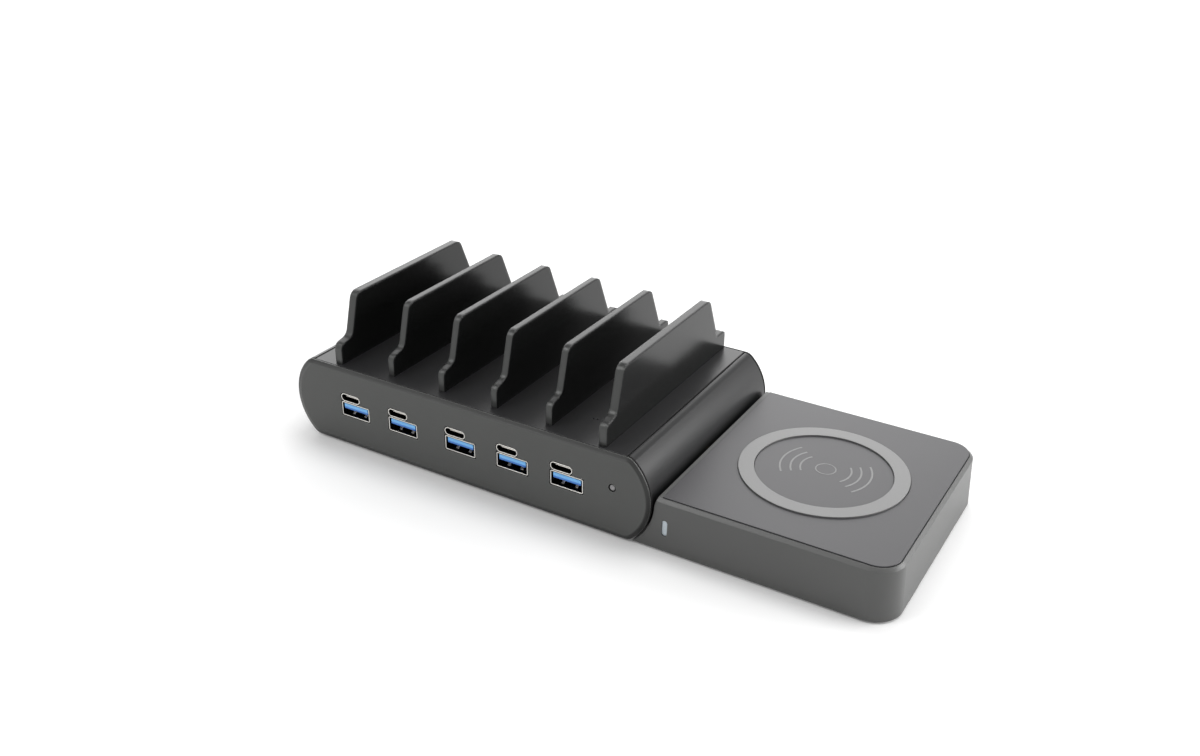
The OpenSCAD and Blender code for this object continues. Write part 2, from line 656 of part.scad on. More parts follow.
module housing_shell() color([0.25, 0.25, 0.26]) at_body() difference() {
  union() {
    along_y(shell_front, shell_d) difference() {
      body_outline(0);
      body_outline(wall);
      translate([0, half_h]) square([2 * seam_x, 2 * deck_t], center = true);
    }
    along_y(-half_d + panel_t, body_d - 2 * panel_t) intersection() {
      for (s = [-1, 1]) translate([s * (seam_x + corner_r / 2), half_h - deck_t - ledge_t / 2])
        square([2 * ledge_w + corner_r, ledge_t], center = true);
      body_outline(wall / 2);
    }
    for (p = power_screws) translate([p[0], p[1], floor_z - wall / 2])
      cylinder(power_post_h + wall / 2, post_r, post_r);
    for (s = [-1, 1], t = [-1, 1]) back_bar() translate([s * back_screw_x, t * back_screw_z]) circle(post_r);
    for (s = [-1, 1]) back_bar() difference() {
      intersection() {
        translate([s * back_screw_x, 0]) square([fin_t, body_h], center = true);
        body_outline(wall / 2);
      }
      translate([s * back_screw_x, 0]) square([2 * fin_t, 2 * back_screw_z], center = true);
      translate([0, half_h]) square([2 * seam_x, 2 * (deck_t + ledge_t)], center = true);
    }
    intersection() {
      for (s = [-1, 1]) translate([magnet_x, s * magnet_y, -dock_z - magnet_h / 2 - guide_t / 2])
        translate([0, -magnet_l / 2, -guide_t / 2]) cube([2 * magnet_w, magnet_l, guide_t]);
      along_y(-half_d, body_d) body_outline(wall / 2);
    }
  }
  for (p = power_screws) translate([p[0], p[1], floor_z + power_post_h - screw_l])
    cylinder(screw_l + over, screw_r + snug_gap, screw_r + snug_gap);
  for (s = [-1, 1], t = [-1, 1]) {
    along_y(half_d - panel_t - 2 * screw_l + wall, 2 * screw_l)
      translate([s * back_screw_x, t * back_screw_z]) circle(screw_r + snug_gap);
    translate([s * foot_x, t * foot_y, -half_h - over])
      cylinder(foot_pocket + over, foot_r + snug_gap, foot_r + snug_gap);
  }
  for (i = [-floor_vents:floor_vents]) translate([i * vent_step, 0, 0])
    along_z(-half_h - over, wall + 2 * over) pill(vent_w, floor_vent_l);
  for (i = [-1:1]) translate([end_x + end_r - 2 * wall, i * dock_step, -dock_z]) rotate([0, 90, 0])
    cylinder(3 * wall, dock_r + snug_gap, dock_r + snug_gap);
}

module deck_slot(x, t) for (s = [-1, 1]) translate([x, s * tab_y])
  square([t - tab_thin + 2 * slot_gap, tab_l + 2 * fit_gap], center = true);

function div_thick(i) = (i == 0 || i == 5) ? div_outer_t : div_t;

module deck_plate() color([0.21, 0.21, 0.23]) at_body() difference() {
  union() {
    translate([0, shell_front + shell_d / 2, half_h - deck_t / 2])
      cube([2 * (seam_x - groove_w), shell_d, deck_t], center = true);
    for (i = [0:5], s = [-1, 1]) translate([div_x[i], s * tab_y, half_h - deck_t - guide_h / 2])
      cube([div_thick(i) - tab_thin + 2 * slot_gap + 2 * guide_t, tab_l + 2 * fit_gap + 2 * guide_t,
        guide_h + deck_t / 2], center = true);
    for (s = [-1, 1], t = [-1, 1]) translate([0, t * half_d / 3, half_h - deck_t])
      along_y(-hook_l / 2, hook_l) translate([s * (seam_x - ledge_w), 0])
        polygon([[0, deck_t / 2], [0, -ledge_t], [s * hook_w, -ledge_t],
          [s * hook_w / 3, -ledge_t - hook_h], [-s * hook_t, -ledge_t - hook_h], [-s * hook_t, deck_t / 2]]);
  }
  along_z(half_h - deck_t - 2 * guide_h, deck_t + 3 * guide_h)
    for (i = [0:5]) deck_slot(div_x[i], div_thick(i));
  for (k = [0, 1]) translate([div_x[4] + pinhole_x, pinhole_y - half_d, 0])
    along_z(half_h - deck_t - over, deck_t + 2 * over)
      translate([k * pinhole_step, k * pinhole_r]) circle(pinhole_r);
}

module front_panel() color([0.31, 0.32, 0.32]) at_body() difference() {
  union() {
    translate([0, -half_d, 0]) panel_blank();
    for (p = port_screws) translate([p[0], 0, p[1]])
      along_y(-half_d + panel_t - rim_t, board_front + half_d - panel_t + rim_t) circle(post_r);
  }
  for (x = port_x) along_y(-half_d - over, panel_t + 2 * over) {
    translate([x, usb_a_z]) soft_rect(usb_a_w + 2 * port_gap, usb_a_h + 2 * port_gap, port_gap);
    translate([x + usb_c_shift, usb_c_z]) pill(usb_c_w + 2 * port_gap, usb_c_h + 2 * port_gap);
  }
  along_y(-half_d - over, panel_t + 2 * over) translate([light_x, light_z]) circle(light_r + light_gap);
  for (p = port_screws) translate([p[0], 0, p[1]])
    along_y(board_front - screw_l, screw_l + over) circle(screw_r + snug_gap);
}

module rear_panel() color([0.27, 0.27, 0.28]) at_body() difference() {
  translate([0, half_d, 0]) rotate(180) panel_blank();
  along_y(half_d - panel_t - over, panel_t + 2 * over) {
    translate([-inlet_x, 0])
      square([inlet_body_w + 2 * snug_gap, inlet_body_h + 2 * snug_gap], center = true);
    translate([-switch_x, 0])
      square([switch_w - switch_wall + 2 * snug_gap, switch_h - switch_wall + 2 * snug_gap], center = true);
    for (i = [0:vent_count - 1]) translate([vent_x + i * vent_step, 0]) pill(vent_w, vent_h);
    for (s = [-1, 1], t = [-1, 1]) translate([s * back_screw_x, t * back_screw_z])
      circle(screw_r + snug_gap);
  }
  along_y(half_d - inlet_t, inlet_t + over) translate([-inlet_x, 0])
    soft_rect(inlet_w + 2 * snug_gap, inlet_h + 2 * snug_gap, flange_r);
  along_y(half_d - switch_wall, switch_wall + over) translate([-switch_x, 0])
    soft_rect(switch_w + 2 * snug_gap, switch_h + 2 * snug_gap, flange_r);
  for (s = [-1, 1], t = [-1, 1]) along_y(half_d - head_h, head_h + over)
    translate([s * back_screw_x, t * back_screw_z]) circle(head_r + fit_gap);
}

module rear_screws() color([0.2, 0.2, 0.2]) at_body() for (s = [-1, 1], t = [-1, 1])
  translate([s * back_screw_x, half_d - head_h, t * back_screw_z]) rotate([-90, 0, 0]) screw();

module rubber_feet() color([0.12, 0.12, 0.12]) at_table() for (s = [-1, 1], t = [-1, 1])
  translate([s * foot_x, t * foot_y, 0]) foot();

// A round rubber foot with a sloped lower edge, standing on the table
module foot() rotate_extrude()
  polygon([[0, 0], [foot_r - foot_h / 2, 0], [foot_r, foot_h / 2], [foot_r, foot_h + foot_pocket],
    [0, foot_h + foot_pocket]]);

// Outlets

module usb_a_shell(x) color([0.75, 0.75, 0.76]) at_body() translate([x, 0, usb_a_z]) difference() {
  along_y(port_front, shell_l) difference() {
    soft_rect(usb_a_w, usb_a_h, 2 * shell_t);
    soft_rect(usb_a_w - 2 * shell_t, usb_a_h - 2 * shell_t, shell_t);
  }
  for (s = [-1, 1]) translate([s * tongue_a_w / 4, port_front + shell_l / 3, 0])
    cube([tongue_a_h, tongue_a_h, usb_a_h + 2 * over], center = true);
}

module usb_a_tongues() color([0.15, 0.45, 0.85]) at_body() for (x = port_x) translate([x, 0, usb_a_z]) {
  along_y(board_front - tongue_base, tongue_base)
    soft_rect(usb_a_w - 2 * (shell_t + snug_gap), usb_a_h - 2 * (shell_t + snug_gap), shell_t);
  along_y(board_front - tongue_base - tongue_a_l, tongue_a_l + tongue_base / 2) translate([0, tongue_a_z])
    square([tongue_a_w, tongue_a_h], center = true);
}

module usb_c_shell(x) color([0.75, 0.75, 0.76]) at_body() translate([x + usb_c_shift, 0, usb_c_z])
  along_y(port_front, shell_l) difference() {
    pill(usb_c_w, usb_c_h);
    pill(usb_c_w - 2 * shell_t, usb_c_h - 2 * shell_t);
  }

module usb_c_tongues() color([0.12, 0.12, 0.13]) at_body() for (x = port_x)
  translate([x + usb_c_shift, 0, usb_c_z]) {
    along_y(port_front + tongue_c_l + 2 * tongue_c_h, shell_l - tongue_c_l - 2 * tongue_c_h)
      pill(usb_c_w - 2 * (shell_t + snug_gap), usb_c_h - 2 * (shell_t + snug_gap));
    along_y(port_front + 2 * tongue_c_h, tongue_c_l + tongue_c_h) pill(tongue_c_w, tongue_c_h);
  }

module indicator_lens() color([0.75, 0.77, 0.78]) at_body()
  translate([light_x, -half_d + light_back, light_z]) rotate([-90, 0, 0]) rotate_extrude()
    polygon([[0, 0], [light_r - light_round, 0], [light_r, light_round], [light_r, light_l], [0, light_l]]);

// Boards and power parts

module port_board() color([0.08, 0.3, 0.16]) at_body() difference() {
  union() {
    along_y(board_front, board_t) translate([(port_board_left - port_board_right) / 2, 0])
      square([body_w - port_board_left - port_board_right, port_board_h], center = true);
    along_y(board_front - board_t / 2, board_t) translate([light_x, light_z])
      square([2 * light_r, 2 * light_r], center = true);
  }
  for (p = port_screws) along_y(board_front - over, board_t + 2 * over)
    translate(p) circle(screw_r + snug_gap);
}

module port_screws() color([0.5, 0.5, 0.52]) at_body() for (p = port_screws)
  translate([p[0], board_front + board_t, p[1]]) rotate([-90, 0, 0]) screw();

module board_link() color([0.1, 0.1, 0.1]) at_body()
  translate([-core_w / 2, board_front + board_t, parts_z]) cube([core_w, core_rim * 2, core_rim * 1.5]);

module power_board() color([0.08, 0.3, 0.16]) at_body() difference() {
  translate([power_x, power_y, board_z]) cube([power_w, power_d, board_t]);
  for (p = power_screws) translate([p[0], p[1], board_z - over])
    cylinder(board_t + 2 * over, screw_r + snug_gap, screw_r + snug_gap);
}

module board_screws() color([0.5, 0.5, 0.52]) at_body() for (p = power_screws)
  translate([p[0], p[1], parts_z]) screw();

module transformer_core() color([0.16, 0.16, 0.17]) at_body()
  translate([core_x, core_y, parts_z + core_h / 2]) difference() {
    cube([core_w, core_d, core_h], center = true);
    for (s = [-1, 1]) translate([s * (core_leg + core_window) / 2, 0, 0])
      cube([core_window, core_d + 2 * over, core_h - 2 * core_rim], center = true);
  }

module transformer_winding() color([0.85, 0.65, 0.15]) at_body()
  translate([core_x, core_y, parts_z + core_rim]) along_z(0, core_h - 2 * core_rim) difference() {
    soft_rect(core_leg + 2 * (core_window - snug_gap), core_d + 2 * winding_out, winding_out / 2);
    square([core_leg + 2 * snug_gap, core_d + 2 * snug_gap], center = true);
  }

module large_capacitors() color([0.15, 0.15, 0.2]) at_body()
  for (i = [0:2]) translate([power_x + cap_left + i * (2 * cap_r + cap_space), cap_y, parts_z])
    can(cap_r, cap_h);

module small_capacitors() color([0.2, 0.2, 0.25]) at_body()
  for (x = port_x) translate([x, small_cap_y, parts_z]) can(small_cap_r, small_cap_h);

// A round can with a groove near its foot and a shallow dish in its top
module can(r, h) rotate_extrude() difference() {
  square([r, h]);
  translate([r, h / 8]) circle(r / 12);
  translate([0, h - r / 12]) square([r * 0.8, r]);
}

module heat_sink() color([0.72, 0.73, 0.75]) at_body()
  translate([sink_x, sink_y - sink_d / 2, parts_z]) {
    cube([sink_w, sink_d, fin_t * 2]);
    for (i = [0:fin_count - 1]) translate([i * (sink_w - fin_t) / (fin_count - 1), 0, 0])
      cube([fin_t, sink_d, sink_h]);
  }

module filter_choke() color([0.55, 0.3, 0.12]) at_body()
  translate([power_x + choke_left, choke_y, parts_z]) rotate_extrude()
    translate([choke_r - choke_w / 2, choke_h / 2]) soft_rect(choke_w, choke_h, choke_w / 4);

// Back panel parts

module mains_inlet() color([0.1, 0.1, 0.11]) at_body() translate([-inlet_x, half_d, 0]) difference() {
  union() {
    along_y(-inlet_t, inlet_t) soft_rect(inlet_w, inlet_h, flange_r);
    along_y(-inlet_l, inlet_l) square([inlet_body_w, inlet_body_h], center = true);
  }
  along_y(-cavity_d, cavity_d + over) polygon([[-cavity_w / 2, -cavity_h / 2], [cavity_w / 2, -cavity_h / 2],
    [cavity_w / 2, cavity_h / 2 - cavity_cut], [cavity_w / 2 - cavity_cut, cavity_h / 2],
    [-cavity_w / 2 + cavity_cut, cavity_h / 2], [-cavity_w / 2, cavity_h / 2 - cavity_cut]]);
  for (k = [-1:1]) along_y(-inlet_l - over, inlet_l) translate([k * pin_dx, k == 0 ? pin_dz : -pin_dz])
    square([pin_w + 2 * snug_gap, pin_h + 2 * snug_gap], center = true);
}

module inlet_pins() color([0.8, 0.75, 0.5]) at_body() for (k = [-1:1])
  translate([-inlet_x + k * pin_dx, half_d, k == 0 ? pin_dz : -pin_dz]) difference() {
    along_y(-inlet_l - lug_l, inlet_l + lug_l - cavity_d + pin_l) square([pin_w, pin_h], center = true);
    translate([0, -inlet_l - lug_l / 2, 0]) rotate([0, 90, 0])
      cylinder(pin_h, screw_r / 2, screw_r / 2, center = true);
  }

module switch_frame() color([0.1, 0.1, 0.11]) at_body() translate([-switch_x, half_d, 0]) difference() {
  union() {
    along_y(-switch_wall, switch_wall) soft_rect(switch_w, switch_h, flange_r);
    along_y(-switch_l, switch_l) square([switch_w - switch_wall, switch_h - switch_wall], center = true);
    for (k = [-1:1]) along_y(-switch_l - lug_l, lug_l + over) translate([0, k * pin_dx])
      square([pin_h, pin_w / 2], center = true);
  }
  along_y(-switch_l + switch_wall, switch_l)
    square([rocker_w + 2 * fit_gap, 2 * rocker_r + 2 * fit_gap], center = true);
  translate([0, -pivot_in, 0]) rotate([0, 90, 0])
    cylinder(rocker_w + 2 * fit_gap + 2 * pivot_l, pivot_r + pivot_gap, pivot_r + pivot_gap, center = true);
}

// The rocker's side outline has a shallow dish between its two raised ends
module switch_rocker() color([0.1, 0.1, 0.11]) at_body()
  translate([-switch_x, half_d - pivot_in, 0]) rotate([rocker_tilt, 0, 0]) {
    along_x(-rocker_w / 2, rocker_w) intersection() {
      circle(rocker_r);
      polygon([[-rocker_back, -rocker_r], [rocker_rise, -rocker_r], [rocker_rise - rocker_dish, 0],
        [rocker_rise, rocker_r], [-rocker_back, rocker_r]]);
    }
    rotate([0, 90, 0]) cylinder(rocker_w + 2 * pivot_l, pivot_r, pivot_r, center = true);
  }

// Dock between the housing and the pad

module dock_contacts() color([0.83, 0.68, 0.3]) at_body() for (i = [-1:1])
  translate([dock_face - 2 * wall, i * dock_step, -dock_z]) rotate([0, 90, 0])
    cylinder(2 * wall, dock_r, dock_r);

module housing_magnets() color([0.6, 0.6, 0.62]) at_body() for (s = [-1, 1])
  translate([magnet_x, s * magnet_y - magnet_l / 2, -dock_z - magnet_h / 2])
    cube([magnet_w, magnet_l, magnet_h]);

// Dividers

module divider(i) {
  t = div_thick(i);
  front = div_base_y + div_front + (t < div_outer_t ? div_in_front : 0);
  back = half_d - div_back - (t < div_outer_t ? div_in_back : 0);
  neck_y = front + foot_front_l;
  ledge_y = back - foot_back_l;
  top_front = neck_y + (div_h - neck_h) * tan(lean_front);
  top_back = ledge_y - (div_h - foot_back_h) * tan(lean_back);
  color([0.23, 0.24, 0.24]) translate([body_x + div_x[i], 0, deck_z]) {
    along_x(-t / 2, t) soft_outline(
      [[front, 0], [back, 0], [back, foot_back_h], [ledge_y, foot_back_h],
        [top_back, div_h], [top_front, div_h], [neck_y, neck_h], [front, foot_front_h]],
      [0, 0, back_foot_r, back_neck_r, top_back_r, top_front_r, neck_r, knee_r]);
    for (s = [-1, 1]) translate([-(t - tab_thin) / 2, s * tab_y - tab_l / 2, -tab_h])
      cube([t - tab_thin, tab_l, tab_h + over]);
  }
}

// Wireless pad

module pad_plan(i, left) {
  translate([left, -pad_d / 2 + i]) square([pad_right - pad_corner - left, pad_d - 2 * i]);
  translate([left, -pad_d / 2 + pad_corner]) square([pad_right - i - left, pad_d - 2 * pad_corner]);
  for (s = [-1, 1]) translate([pad_right - pad_corner, s * (pad_d / 2 - pad_corner)]) circle(pad_corner - i);
}

// Everything nearer the housing than the gap, cut away from the pad
module pad_arc(more) {
  translate([end_x, 0, mid_z]) rotate([90, 0, 0])
    cylinder(2 * pad_d, pad_arc_r + more, pad_arc_r + more, center = true);
  along_y(-pad_d, 2 * pad_d) polygon([[0, mid_z], [end_x + pad_arc_r + more, mid_z],
    [pad_top_left + more + over * pad_slope / (pad_z - mid_z), pad_z + over], [0, pad_z + over]]);
}

// The pad's side and its sloped band, drawn from the middle line out to r at the foot
module edge_profile(r) polygon([[0, foot_h], [r, foot_h], [r - pad_draft, side_z],
  [r - plate_in, rim_z], [0, rim_z]]);

module pad_block() {
  left = end_x;
  along_x(left, pad_right - pad_corner - left) {
    edge_profile(pad_d / 2);
    mirror([1, 0]) edge_profile(pad_d / 2);
  }
  translate([left, 0, 0]) along_y(-pad_d / 2 + pad_corner, pad_d - 2 * pad_corner)
    edge_profile(pad_right - left);
  for (s = [-1, 1]) translate([pad_right - pad_corner, s * (pad_d / 2 - pad_corner), 0])
    rotate_extrude() edge_profile(pad_corner);
}

module pad_cover() color([0.3, 0.3, 0.3]) at_table() difference() {
  pad_block();
  pad_arc(0);
  difference() {
    along_z(foot_h, pad_z - pad_top_t - pad_ledge - foot_h) pad_plan(pad_wall, end_x);
    pad_arc(pad_wall);
  }
  difference() {
    along_z(foot_h - over, base_t + over) pad_plan(base_rim, end_x);
    pad_arc(base_rim);
  }
  along_z(foot_h, 2 * pad_z) pad_plan(plate_in + pad_ledge, top_left + pad_ledge);
  along_z(pad_z - pad_top_t, 2 * pad_top_t) pad_plan(plate_in, top_left);
  along_y(-pad_d, pad_d) translate([pill_x, pill_z]) pill(pill_w + 2 * snug_gap, pill_h + 2 * snug_gap);
  for (i = [-1:1]) translate([end_x + end_r, i * dock_step, mid_z - dock_z]) rotate([0, 90, 0])
    cylinder(3 * pad_wall, dock_pin_r + snug_gap, dock_pin_r + snug_gap);
}

module pad_top() color([0.42, 0.42, 0.43]) at_table() difference() {
  along_z(pad_z - pad_top_t, pad_top_t) pad_plan(plate_in + pad_seam, top_left + pad_seam);
  translate([ring_x, 0, pad_z - ring_t]) along_z(0, 2 * ring_t) difference() {
    circle(ring_out + ring_gap);
    circle(ring_in - ring_gap);
  }
}

module pad_ring() color([0.72, 0.72, 0.72]) at_table() translate([ring_x, 0, pad_z - ring_t])
  linear_extrude(ring_t + ring_up) difference() {
    circle(ring_out);
    circle(ring_in);
  }

module pad_base() color([0.24, 0.24, 0.24]) at_table() difference() {
  union() {
    difference() {
      along_z(foot_h, base_t) pad_plan(base_rim + snug_gap, end_x);
      pad_arc(base_rim + snug_gap);
    }
    for (p = pad_screw_at) translate([p[0], p[1], foot_h]) cylinder(pad_board_z - foot_h, post_r, post_r);
    for (a = [45:90:315]) translate([ring_x, 0, foot_h]) rotate(a) translate([coil_out * 0.8, 0, 0])
      cylinder(shield_z - foot_h, post_r, post_r);
  }
  for (p = pad_screw_at) translate([p[0], p[1], pad_board_z - screw_l])
    cylinder(screw_l + over, screw_r + snug_gap, screw_r + snug_gap);
  for (x = pad_x_feet, s = [-1, 1]) translate([x, s * pad_foot_y, 0])
    cylinder(foot_h + foot_pocket, foot_r + snug_gap, foot_r + snug_gap);
}

module pad_feet() color([0.12, 0.12, 0.12]) at_table() for (x = pad_x_feet, s = [-1, 1])
  translate([x, s * pad_foot_y, 0]) foot();

module pad_screws() color([0.5, 0.5, 0.52]) at_table() for (p = pad_screw_at)
  translate([p[0], p[1], pad_board_z + board_t]) screw();

module pad_light() color([0.8, 0.9, 0.95]) at_table()
  along_y(pill_front, pill_l) translate([pill_x, pill_z]) pill(pill_w, pill_h);

module pad_board() color([0.08, 0.3, 0.16]) at_table() difference() {
  translate([pad_in_left, -pad_board_l / 2, pad_board_z]) cube([pad_board_w, pad_board_l, board_t]);
  for (p = pad_screw_at) translate([p[0], p[1], pad_board_z - over])
    cylinder(board_t + 2 * over, screw_r + snug_gap, screw_r + snug_gap);
}

module charge_coil() color([0.72, 0.4, 0.2]) at_table() translate([ring_x, 0, coil_z + wire_r])
  rotate_extrude() for (k = [0:turn_count - 1]) translate([coil_in + k * wire_step, 0]) circle(wire_r);

module coil_shield() color([0.2, 0.2, 0.22]) at_table() translate([ring_x, 0, shield_z])
  cylinder(shield_t, coil_out + wire_r, coil_out + wire_r);

module pad_contacts() color([0.83, 0.68, 0.3]) at_table() {
  for (i = [-1:1]) translate([dock_face + dock_gap, i * dock_step, mid_z - dock_z]) rotate([0, 90, 0])
    cylinder(pad_in_left - dock_face + magnet_w / 2, dock_pin_r, dock_pin_r);
  translate([pad_in_left, -1.5 * dock_step, pad_board_z + board_t])
    cube([magnet_w, 3 * dock_step, magnet_h]);
}

module pad_magnets() color([0.6, 0.6, 0.62]) at_table() for (s = [-1, 1])
  translate([pad_in_left, s * magnet_y - magnet_l / 2, pad_board_z + board_t])
    cube([magnet_w, magnet_l, magnet_h]);

housing_shell();
deck_plate();
front_panel();
rear_panel();
rear_screws();
rubber_feet();
usb_a_shell(port_x[0]);  // usb_a_shell_1
usb_a_shell(port_x[1]);  // usb_a_shell_2
usb_a_shell(port_x[2]);  // usb_a_shell_3
usb_a_shell(port_x[3]);  // usb_a_shell_4
usb_a_shell(port_x[4]);  // usb_a_shell_5
usb_a_tongues();
usb_c_shell(port_x[0]);  // usb_c_shell_1
usb_c_shell(port_x[1]);  // usb_c_shell_2
usb_c_shell(port_x[2]);  // usb_c_shell_3
usb_c_shell(port_x[3]);  // usb_c_shell_4
usb_c_shell(port_x[4]);  // usb_c_shell_5
usb_c_tongues();
indicator_lens();
port_board();
port_screws();
board_link();
power_board();
board_screws();
transformer_core();
transformer_winding();
large_capacitors();
small_capacitors();
heat_sink();
filter_choke();
mains_inlet();
inlet_pins();
switch_frame();
switch_rocker();
dock_contacts();
housing_magnets();
divider(0);  // divider_1
divider(1);  // divider_2
divider(2);  // divider_3
divider(3);  // divider_4
divider(4);  // divider_5
divider(5);  // divider_6
pad_cover();
pad_top();
pad_ring();
pad_base();
pad_screws();
pad_feet();
pad_light();
pad_board();
charge_coil();
coil_shield();
pad_contacts();
pad_magnets();
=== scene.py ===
# %% [markdown]
# A desktop charging station in Blender.
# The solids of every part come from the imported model, already in place and in metres.
# This lesson gives them light, a camera and real finishes, and adds the small trim
# that is too fine for the solids: springs, contacts, printed marks.

import json
import math

import bmesh
import bpy
from mathutils import Matrix, Vector


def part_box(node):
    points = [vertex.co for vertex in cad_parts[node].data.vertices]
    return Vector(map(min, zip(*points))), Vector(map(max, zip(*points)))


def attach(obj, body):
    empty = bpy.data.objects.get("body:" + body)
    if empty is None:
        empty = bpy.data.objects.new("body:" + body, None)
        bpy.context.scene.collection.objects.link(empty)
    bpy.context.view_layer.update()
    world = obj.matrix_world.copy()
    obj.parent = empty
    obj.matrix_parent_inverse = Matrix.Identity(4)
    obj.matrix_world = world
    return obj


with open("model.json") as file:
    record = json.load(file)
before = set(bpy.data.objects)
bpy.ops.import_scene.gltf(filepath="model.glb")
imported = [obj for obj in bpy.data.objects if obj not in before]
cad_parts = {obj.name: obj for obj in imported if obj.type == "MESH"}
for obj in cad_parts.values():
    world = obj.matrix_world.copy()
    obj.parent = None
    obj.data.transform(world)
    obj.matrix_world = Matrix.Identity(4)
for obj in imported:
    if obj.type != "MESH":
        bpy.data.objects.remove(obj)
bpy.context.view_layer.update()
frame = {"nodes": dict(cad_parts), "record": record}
nodes = frame["nodes"]
MM = 0.001
print("parts loaded:", len(nodes))

# %% [markdown]
# The camera stands to the right of the front and looks down at the deck.
# A lens is easiest to set from a picture: the focal length in pixels divided by the
# picture's width, times the sensor's width, is the focal length in millimetres.
# The position could be typed as three numbers. It is found instead by walking back from a
# point on the object along the line of sight, so that the angle and the distance can be
# changed one at a time.
# The view transform is Standard, which shows each colour as it is written.

# %% Camera
PICTURE_W = 1200
FOCAL_PX = 1228.58
SENSOR_W = 36
NEAREST = 10 * MM
AZIMUTH, ELEVATION, ROLL = (math.radians(a) for a in (30.337, 27.295, -0.822))
TARGET = Vector((-1.388, -18.058, 42.283)) * MM
DISTANCE = 432.351 * MM

back = Vector((math.sin(AZIMUTH) * math.cos(ELEVATION),
               -math.cos(AZIMUTH) * math.cos(ELEVATION), math.sin(ELEVATION)))
level_right = Vector((math.cos(AZIMUTH), math.sin(AZIMUTH), 0))
level_down = (-back).cross(level_right)
right = math.cos(ROLL) * level_right + math.sin(ROLL) * level_down
down = -math.sin(ROLL) * level_right + math.cos(ROLL) * level_down

camera_data = bpy.data.cameras.new("camera")
camera_data.sensor_fit = "HORIZONTAL"
camera_data.sensor_width = SENSOR_W
camera_data.lens = FOCAL_PX / PICTURE_W * SENSOR_W
camera_data.clip_start = NEAREST
camera = bpy.data.objects.new("camera", camera_data)
camera.matrix_world = Matrix.LocRotScale(
    TARGET + back * DISTANCE, Matrix((right, -down, back)).transposed().to_quaternion(), None)
bpy.context.collection.objects.link(camera)
bpy.context.scene.camera = camera
bpy.context.scene.view_settings.view_transform = "Standard"
print("camera at", [round(v, 4) for v in camera.location], "lens", round(camera_data.lens, 3), "mm")

# %% [markdown]
# Shader maths reads best as ordinary Python. It could be wired node by node, but
# `a * 2 + b` says the same in one line. One small class holds a value that runs through a
# tree and turns each operator into a Math node.

# %% A value in a node tree
class Signal:
    """A value that runs through the nodes of a tree."""

    def __init__(self, tree, socket):
        self.tree = tree
        self.socket = socket

    def maths(self, operation, other=0.0, flipped=False):
        pair = (other, self) if flipped else (self, other)
        return self.tree.add("ShaderNodeMath", {"operation": operation}, {0: pair[0], 1: pair[1]})

    def __add__(self, other):
        return self.maths("ADD", other)

    def __mul__(self, other):
        return self.maths("MULTIPLY", other)

    def __sub__(self, other):
        return self.maths("SUBTRACT", other)

    def __rsub__(self, other):
        return self.maths("SUBTRACT", other, flipped=True)

    def __abs__(self):
        return self.maths("ABSOLUTE")

    __radd__ = __add__
    __rmul__ = __mul__


print("values can be added, multiplied and subtracted")

# %% [markdown]
# Every other node comes from one method, which takes the node's type, its settings and
# what its sockets get. The same method serves the materials, the surroundings and the
# Geometry Nodes further down, so there is only one way to read.

# %% A tree that grows by one method
class Tree:
    """A node tree whose nodes are added one call at a time."""

    def __init__(self, node_tree):
        self.node_tree = node_tree

    def add(self, kind, settings=None, sockets=None, out=0):
        node = self.node_tree.nodes.new(kind)
        for key, value in (settings or {}).items():
            setattr(node, key, value)
        for key, value in (sockets or {}).items():
            self.feed(node.inputs[key], value)
        return Signal(self, node.outputs[out]) if len(node.outputs) else None

    def feed(self, socket, value):
        if isinstance(value, Signal):
            self.node_tree.links.new(value.socket, socket)
        else:
            socket.default_value = value


print("trees can grow")

# %% [markdown]
# A finish is a material with the few steps that its patterns share: a place on the
# object, noise, a ramp, a blend of two colours, a bump. Corners that hands and phones rub,
# and that the plastics also paint paler as a painted highlight, are found by comparing the
# true normal with the normal of a rounded copy of the edge, which the Bevel node gives.
# A painted mask could do that too, but would need a UV map.
# The mask is full where the two are about 30 degrees apart, whose cosine is 0.86.
# A Mix node has sockets for several kinds of value under the same names, so those for
# colours are called by their numbers.

# %% A material and the steps that finishes share
X, Y, Z = 0, 1, 2
BEVEL_SAMPLES = 4
CORNER_TURN = 0.86
MIX_LOW, MIX_HIGH, MIX_RESULT = 6, 7, 2


